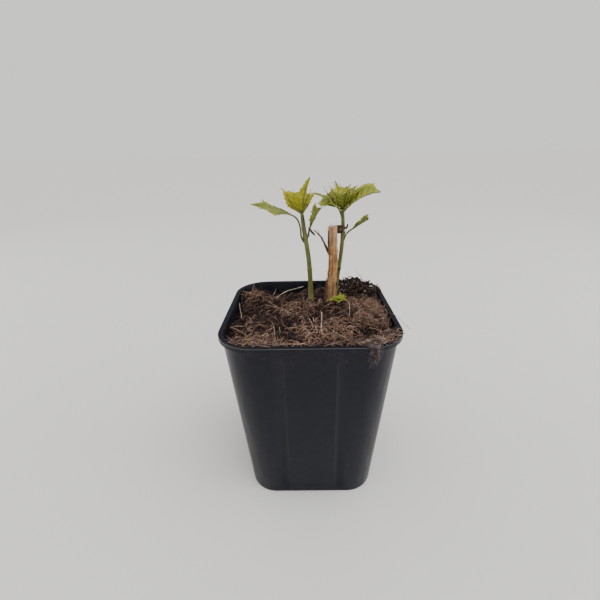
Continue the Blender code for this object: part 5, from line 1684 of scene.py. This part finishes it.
grow_crown("left_crown", left_line, LEFT_RADIUS, LEFT_CROWN_TOP, LEFT_CROWN_LEAVES, bright_leaf)
grow_crown("right_crown", right_line, RIGHT_RADIUS, RIGHT_CROWN_TOP, (*RIGHT_CROWN_LEAVES, FAN_LEAF),
           green_leaf)

# %% [markdown]
# Thin dark stipules, as fine as hairs, stand between the young leaves. They start at the crown's
# heart and their tips look out over the leaves' edges.

# %% The stipules of the crowns
HEART_STIPULES = (
    ((19.0, 17.4, 150.4), (15.6, 18.8, 157.8), (14.9, 19.2, 161.5), (13.8, 19.4, 165.3)),
    ((18.8, 17.4, 150.2), (12.4, 19.6, 157.6), (9.9, 20.0, 160.4), (8.5, 20.2, 163.1)),
    ((19.4, 16.8, 150.4), (20.5, 16.0, 157.0), (20.9, 15.9, 160.0), (21.2, 15.7, 162.6)),
    ((19.6, 17.2, 150.4), (22.3, 18.0, 158.0), (22.8, 18.1, 161.2), (23.4, 18.3, 164.0)),
    ((19.8, 16.8, 150.2), (23.7, 16.1, 157.6), (24.3, 15.9, 160.4), (24.9, 15.6, 162.8)),
    ((19.8, 17.2, 150.2), (25.3, 17.0, 157.8), (26.1, 17.0, 160.6), (27.2, 17.0, 163.1)),
    ((19.4, 17.6, 150.2), (21.0, 21.6, 157.0), (21.6, 23.8, 159.8), (21.8, 26.0, 162.0)),
    ((-3.1, 13.2, 150.4), (-0.6, 12.0, 157.0), (0.9, 11.6, 160.2), (2.2, 11.2, 163.0)),
    ((-3.3, 13.2, 150.4), (-6.0, 13.6, 156.8), (-7.4, 14.0, 159.8), (-8.2, 14.6, 162.6)),
    ((-3.1, 13.8, 150.4), (-2.4, 17.0, 157.2), (-2.0, 18.6, 160.4), (-1.2, 20.2, 163.0)),
)
CROWN_STIPULES = {"right_crown": HEART_STIPULES[:7], "left_crown": HEART_STIPULES[7:]}

stipule_skin = skin_finish("stipule_skin", (0.030, 0.026, 0.008), (0.075, 0.058, 0.020), (0.05, 0.04, 0.02))
for crown, points in CROWN_STIPULES.items():
    lines = np.array([through(line, 20) * MM for line in points])
    radii = np.tile(0.30 * MM * (1 - 0.8 * np.linspace(0, 1, 20) ** 1.2), (len(lines), 1))
    hand_over(tubes(crown + "_stipules", lines, radii, sides=6), stipule_skin, "green_stem", crown)

# %% [markdown]
# Three single leaves leave the shoots lower down, one of them on a long thin stalk. Each has its
# foot just clear of the shoot in the frame. Here the stalk goes on into the shoot's skin.

# %% The single leaves
SINGLE_LEAVES = (
    ("left_spreading_leaf", left_line, LEFT_RADIUS, 137.4, green_leaf,
     Leaf(182, 19, 23.2, 14.0, stalk=12.8, stalk_rise=86, arch=6, fold=3, roll=-13, wave=0.9,
          shoulder=0.66, grow=1.0, middle=0.60, tone=-0.5, drawn=0.6)),
    ("left_small_leaf", left_line, LEFT_RADIUS, 137.9, green_leaf,
     Leaf(-4, 69, 12.4, 13.0, stalk=3.4, stalk_rise=86, arch=16, fold=14, roll=-18, wave=0.3, teeth=6,
          shoulder=0.88, grow=0.95, middle=0.9, tone=-0.45)),
    ("right_side_leaf", right_line, RIGHT_RADIUS, 137.0, green_leaf,
     Leaf(-4, 36, 10.6, 8.0, stalk=4.0, stalk_rise=46, arch=10, fold=26, roll=-22, wave=0.2, teeth=6,
          shoulder=0.9, grow=0.75, middle=0.95, tone=-0.55)),
)


def leave_from(shoot_line, shoot_width, height, leaf):
    """The foot of a single leaf beside the shoot, and a point in the shoot's skin below it."""
    at = int(np.argmin(np.abs(shoot_line[:, 2] - height * MM)))
    axis = shoot_line[at]
    rise = axis[2] - FEET
    radius = float(shoot_radius(shoot_width, rise / (shoot_line[-1, 2] - FEET), rise))
    turn = math.radians(leaf.azimuth)
    way = np.array([math.cos(turn), math.sin(turn), 0.0])
    reach = radius + 0.3 * MM + STALK_RADIUS * math.sin(math.radians(leaf.stalk_rise)) + 0.1 * MM
    foot = axis + way * reach
    return foot, axis + way * 0.62 * radius - np.array([0, 0, 3.4 * MM])


for name, shoot_line, shoot_width, height, finish, leaf in SINGLE_LEAVES:
    foot, root = leave_from(shoot_line, shoot_width, height, leaf)
    blade, line = grow_blade(name + "_blade", Vector(foot), leaf, 0.9)
    stalks = joined(name + "_stalk", grow_stalk(name, line, leaf, 0.9, root=root))
    hand_over(blade, finish, "leaf", name)
    hand_over(stalks, stalk_skin, "green_stem", name)

# %% [markdown]
# At each leaf's foot stands a pair of thin pointed scales, the stipules. One on the left shoot has
# dried and hangs dark. Behind the stub's top a whole scale has withered: its blade is curled into a
# dark ring round the shoot's front. A small dark bud sits lower on the right shoot.

# %% Scales and buds
GREEN_STIPULES = (((-2.6, 12.7, 135.4), (-3.4, 12.3, 137.4), (-3.9, 12.0, 139.3)),
                  ((-0.6, 13.4, 138.0), (0.2, 13.0, 139.4), (0.6, 12.8, 140.8)),
                  ((20.5, 16.4, 137.6), (21.1, 15.8, 139.2), (21.3, 15.6, 140.8)))
DRY_STIPULE = ((0.45, 13.25, 142.0), (0.6, 12.7, 141.6), (1.2, 12.3, 140.9), (1.8, 12.1, 140.1),
               (2.8, 12.0, 139.0), (3.7, 12.1, 138.0))
SCALE_STRIPS = (
    ((19.2, 15.3, 139.0), (17.6, 14.9, 138.6), (16.2, 14.8, 138.9), (15.5, 14.8, 140.1), (15.7, 14.9, 141.4),
     (16.7, 15.0, 142.2), (18.2, 15.1, 142.3)),
    ((18.9, 15.0, 139.9), (17.6, 14.7, 139.5), (16.6, 14.6, 140.2), (16.5, 14.6, 141.2), (17.4, 14.8, 141.9),
     (18.6, 15.0, 141.7), (19.4, 15.2, 140.9)),
    ((18.0, 15.0, 142.3), (19.0, 14.8, 141.9), (20.0, 14.9, 141.1), (20.9, 15.1, 140.9), (21.6, 15.4, 141.6),
     (21.9, 15.6, 142.5), (21.8, 15.7, 143.0)),
)
SCALE_WIDTHS = (1.2, 0.95, 0.95)
SCALE_HEART = ((16.6, 14.9, 139.3), (17.3, 14.8, 140.1), (17.4, 14.8, 140.9), (17.9, 14.9, 141.6))

lines = np.array([through(points, 14) * MM for points in GREEN_STIPULES])
radii = np.tile(0.40 * MM * (1 - 0.85 * np.linspace(0, 1, 14) ** 1.5), (len(lines), 1))
made = tubes("stipules_green", lines, radii, sides=8, squash=0.45)
hand_over(made, stalk_skin, "green_stem", "left_shoot")
dry_skin = peat_finish("withered_skin", (0.022, 0.010, 0.006), (0.085, 0.042, 0.027), (0.20, 0.12, 0.08), 0.15,
                       scale=600.0, rough=0.8, relief=0.0002)
lines = np.array([through(points, 30) * MM for points in SCALE_STRIPS])
lines += [[0.10 * MM * np.array(noise.noise_vector(Vector((0.6 * k, 3.0 * strip, 1.0)))) for k in range(30)]
          for strip in range(len(SCALE_STRIPS))]
swell = 0.45 + 0.55 * np.sin(np.pi * np.linspace(0.08, 0.95, 30)) + 0.10 * np.sin(np.arange(30) * 1.9)
radii = np.array(SCALE_WIDTHS)[:, None] * MM * swell
made = tubes("withered_scale", lines, radii, sides=8, squash=0.6)
hand_over(made, dry_skin, "dry_leaf", "dry_scale")
heart = through(SCALE_HEART, 10) * MM
heart = tubes("scale_heart", heart[None], 0.95 * MM * np.sin(np.pi * np.linspace(0.15, 0.85, 10))[None], sides=10)
hand_over(heart, loose_bark, "dry_leaf", "dry_scale")
dry_line = through(DRY_STIPULE, 16) * MM
dry_radii = MM * (0.40 + 0.66 * np.sin(np.pi * np.linspace(0.0, 0.93, 16) ** 1.4))
made = tubes("stipule_dry", dry_line[None], dry_radii[None], sides=8, squash=0.6)
hand_over(made, dry_skin, "dry_leaf", "left_shoot")
bud_line = through(((16.9, 17.6, 116.4), (17.9, 17.0, 116.8), (18.9, 16.6, 117.4)), 10) * MM
bud = tubes("side_bud", bud_line[None], 0.66 * MM * np.sin(np.pi * np.linspace(0.18, 0.97, 10))[None], sides=10)
hand_over(bud, dry_skin, "dry_leaf", "right_shoot")

# %% [markdown]
# A rosette of tiny lime-green leaves sprouts at the stub's foot. It follows the frame's fan of
# leaves round its little stem, with more and smaller leaves between them.

# %% The basal sprout
SPROUT_PLACE = Vector((16.8 * MM, 7.4 * MM, FEET))
SPROUT_HEIGHT = 1.6 * MM
SPROUT_LEAVES = 6

blades = []
stalks = []
sprout_stem = np.array([tuple(SPROUT_PLACE + Vector((0, 0, k / 9 * SPROUT_HEIGHT))) for k in range(10)])
stalks.append(tubes("sprout_stem", sprout_stem[None], 0.9 * MM * np.linspace(1.0, 0.55, 10)[None], sides=12))
for number in range(SPROUT_LEAVES):
    fan = number / (SPROUT_LEAVES - 1)
    large = Leaf(-172 + 200 * fan, 34 + 26 * (number % 2), 4.8, 4.4, stalk=0.8, arch=40, wave=0.2, teeth=3,
                 shoulder=0.6, middle=0.6)
    small = Leaf(-150 + 300 * fan, 62 + 9 * (number % 3), 3.4, 3.2, stalk=0.5, arch=30, wave=0.2, teeth=3,
                 shoulder=0.6, middle=0.6)
    for leaf, rise in ((large, 0.8 + 0.2 * (number % 3)), (small, 1.3)):
        foot = SPROUT_PLACE + Vector((0, 0, rise * MM))
        blade, line = grow_blade("sprout_blade_%d" % len(blades), foot, leaf, 1.3 * number)
        blades.append(blade)
        stalks += grow_stalk("sprout_stalk_%d" % len(blades), line, leaf, 1.3 * number)
lime_leaf = leaf_finish("lime_leaf", (0.265, 0.30, 0.034), (0.42, 0.45, 0.06), (0.125, 0.150, 0.024),
                        (0.165, 0.20, 0.022))
hand_over(joined("basal_sprout_blades", blades), lime_leaf, "young_leaf", "basal_sprout")
hand_over(joined("basal_sprout_stalks", stalks), stalk_skin, "green_stem", "basal_sprout")
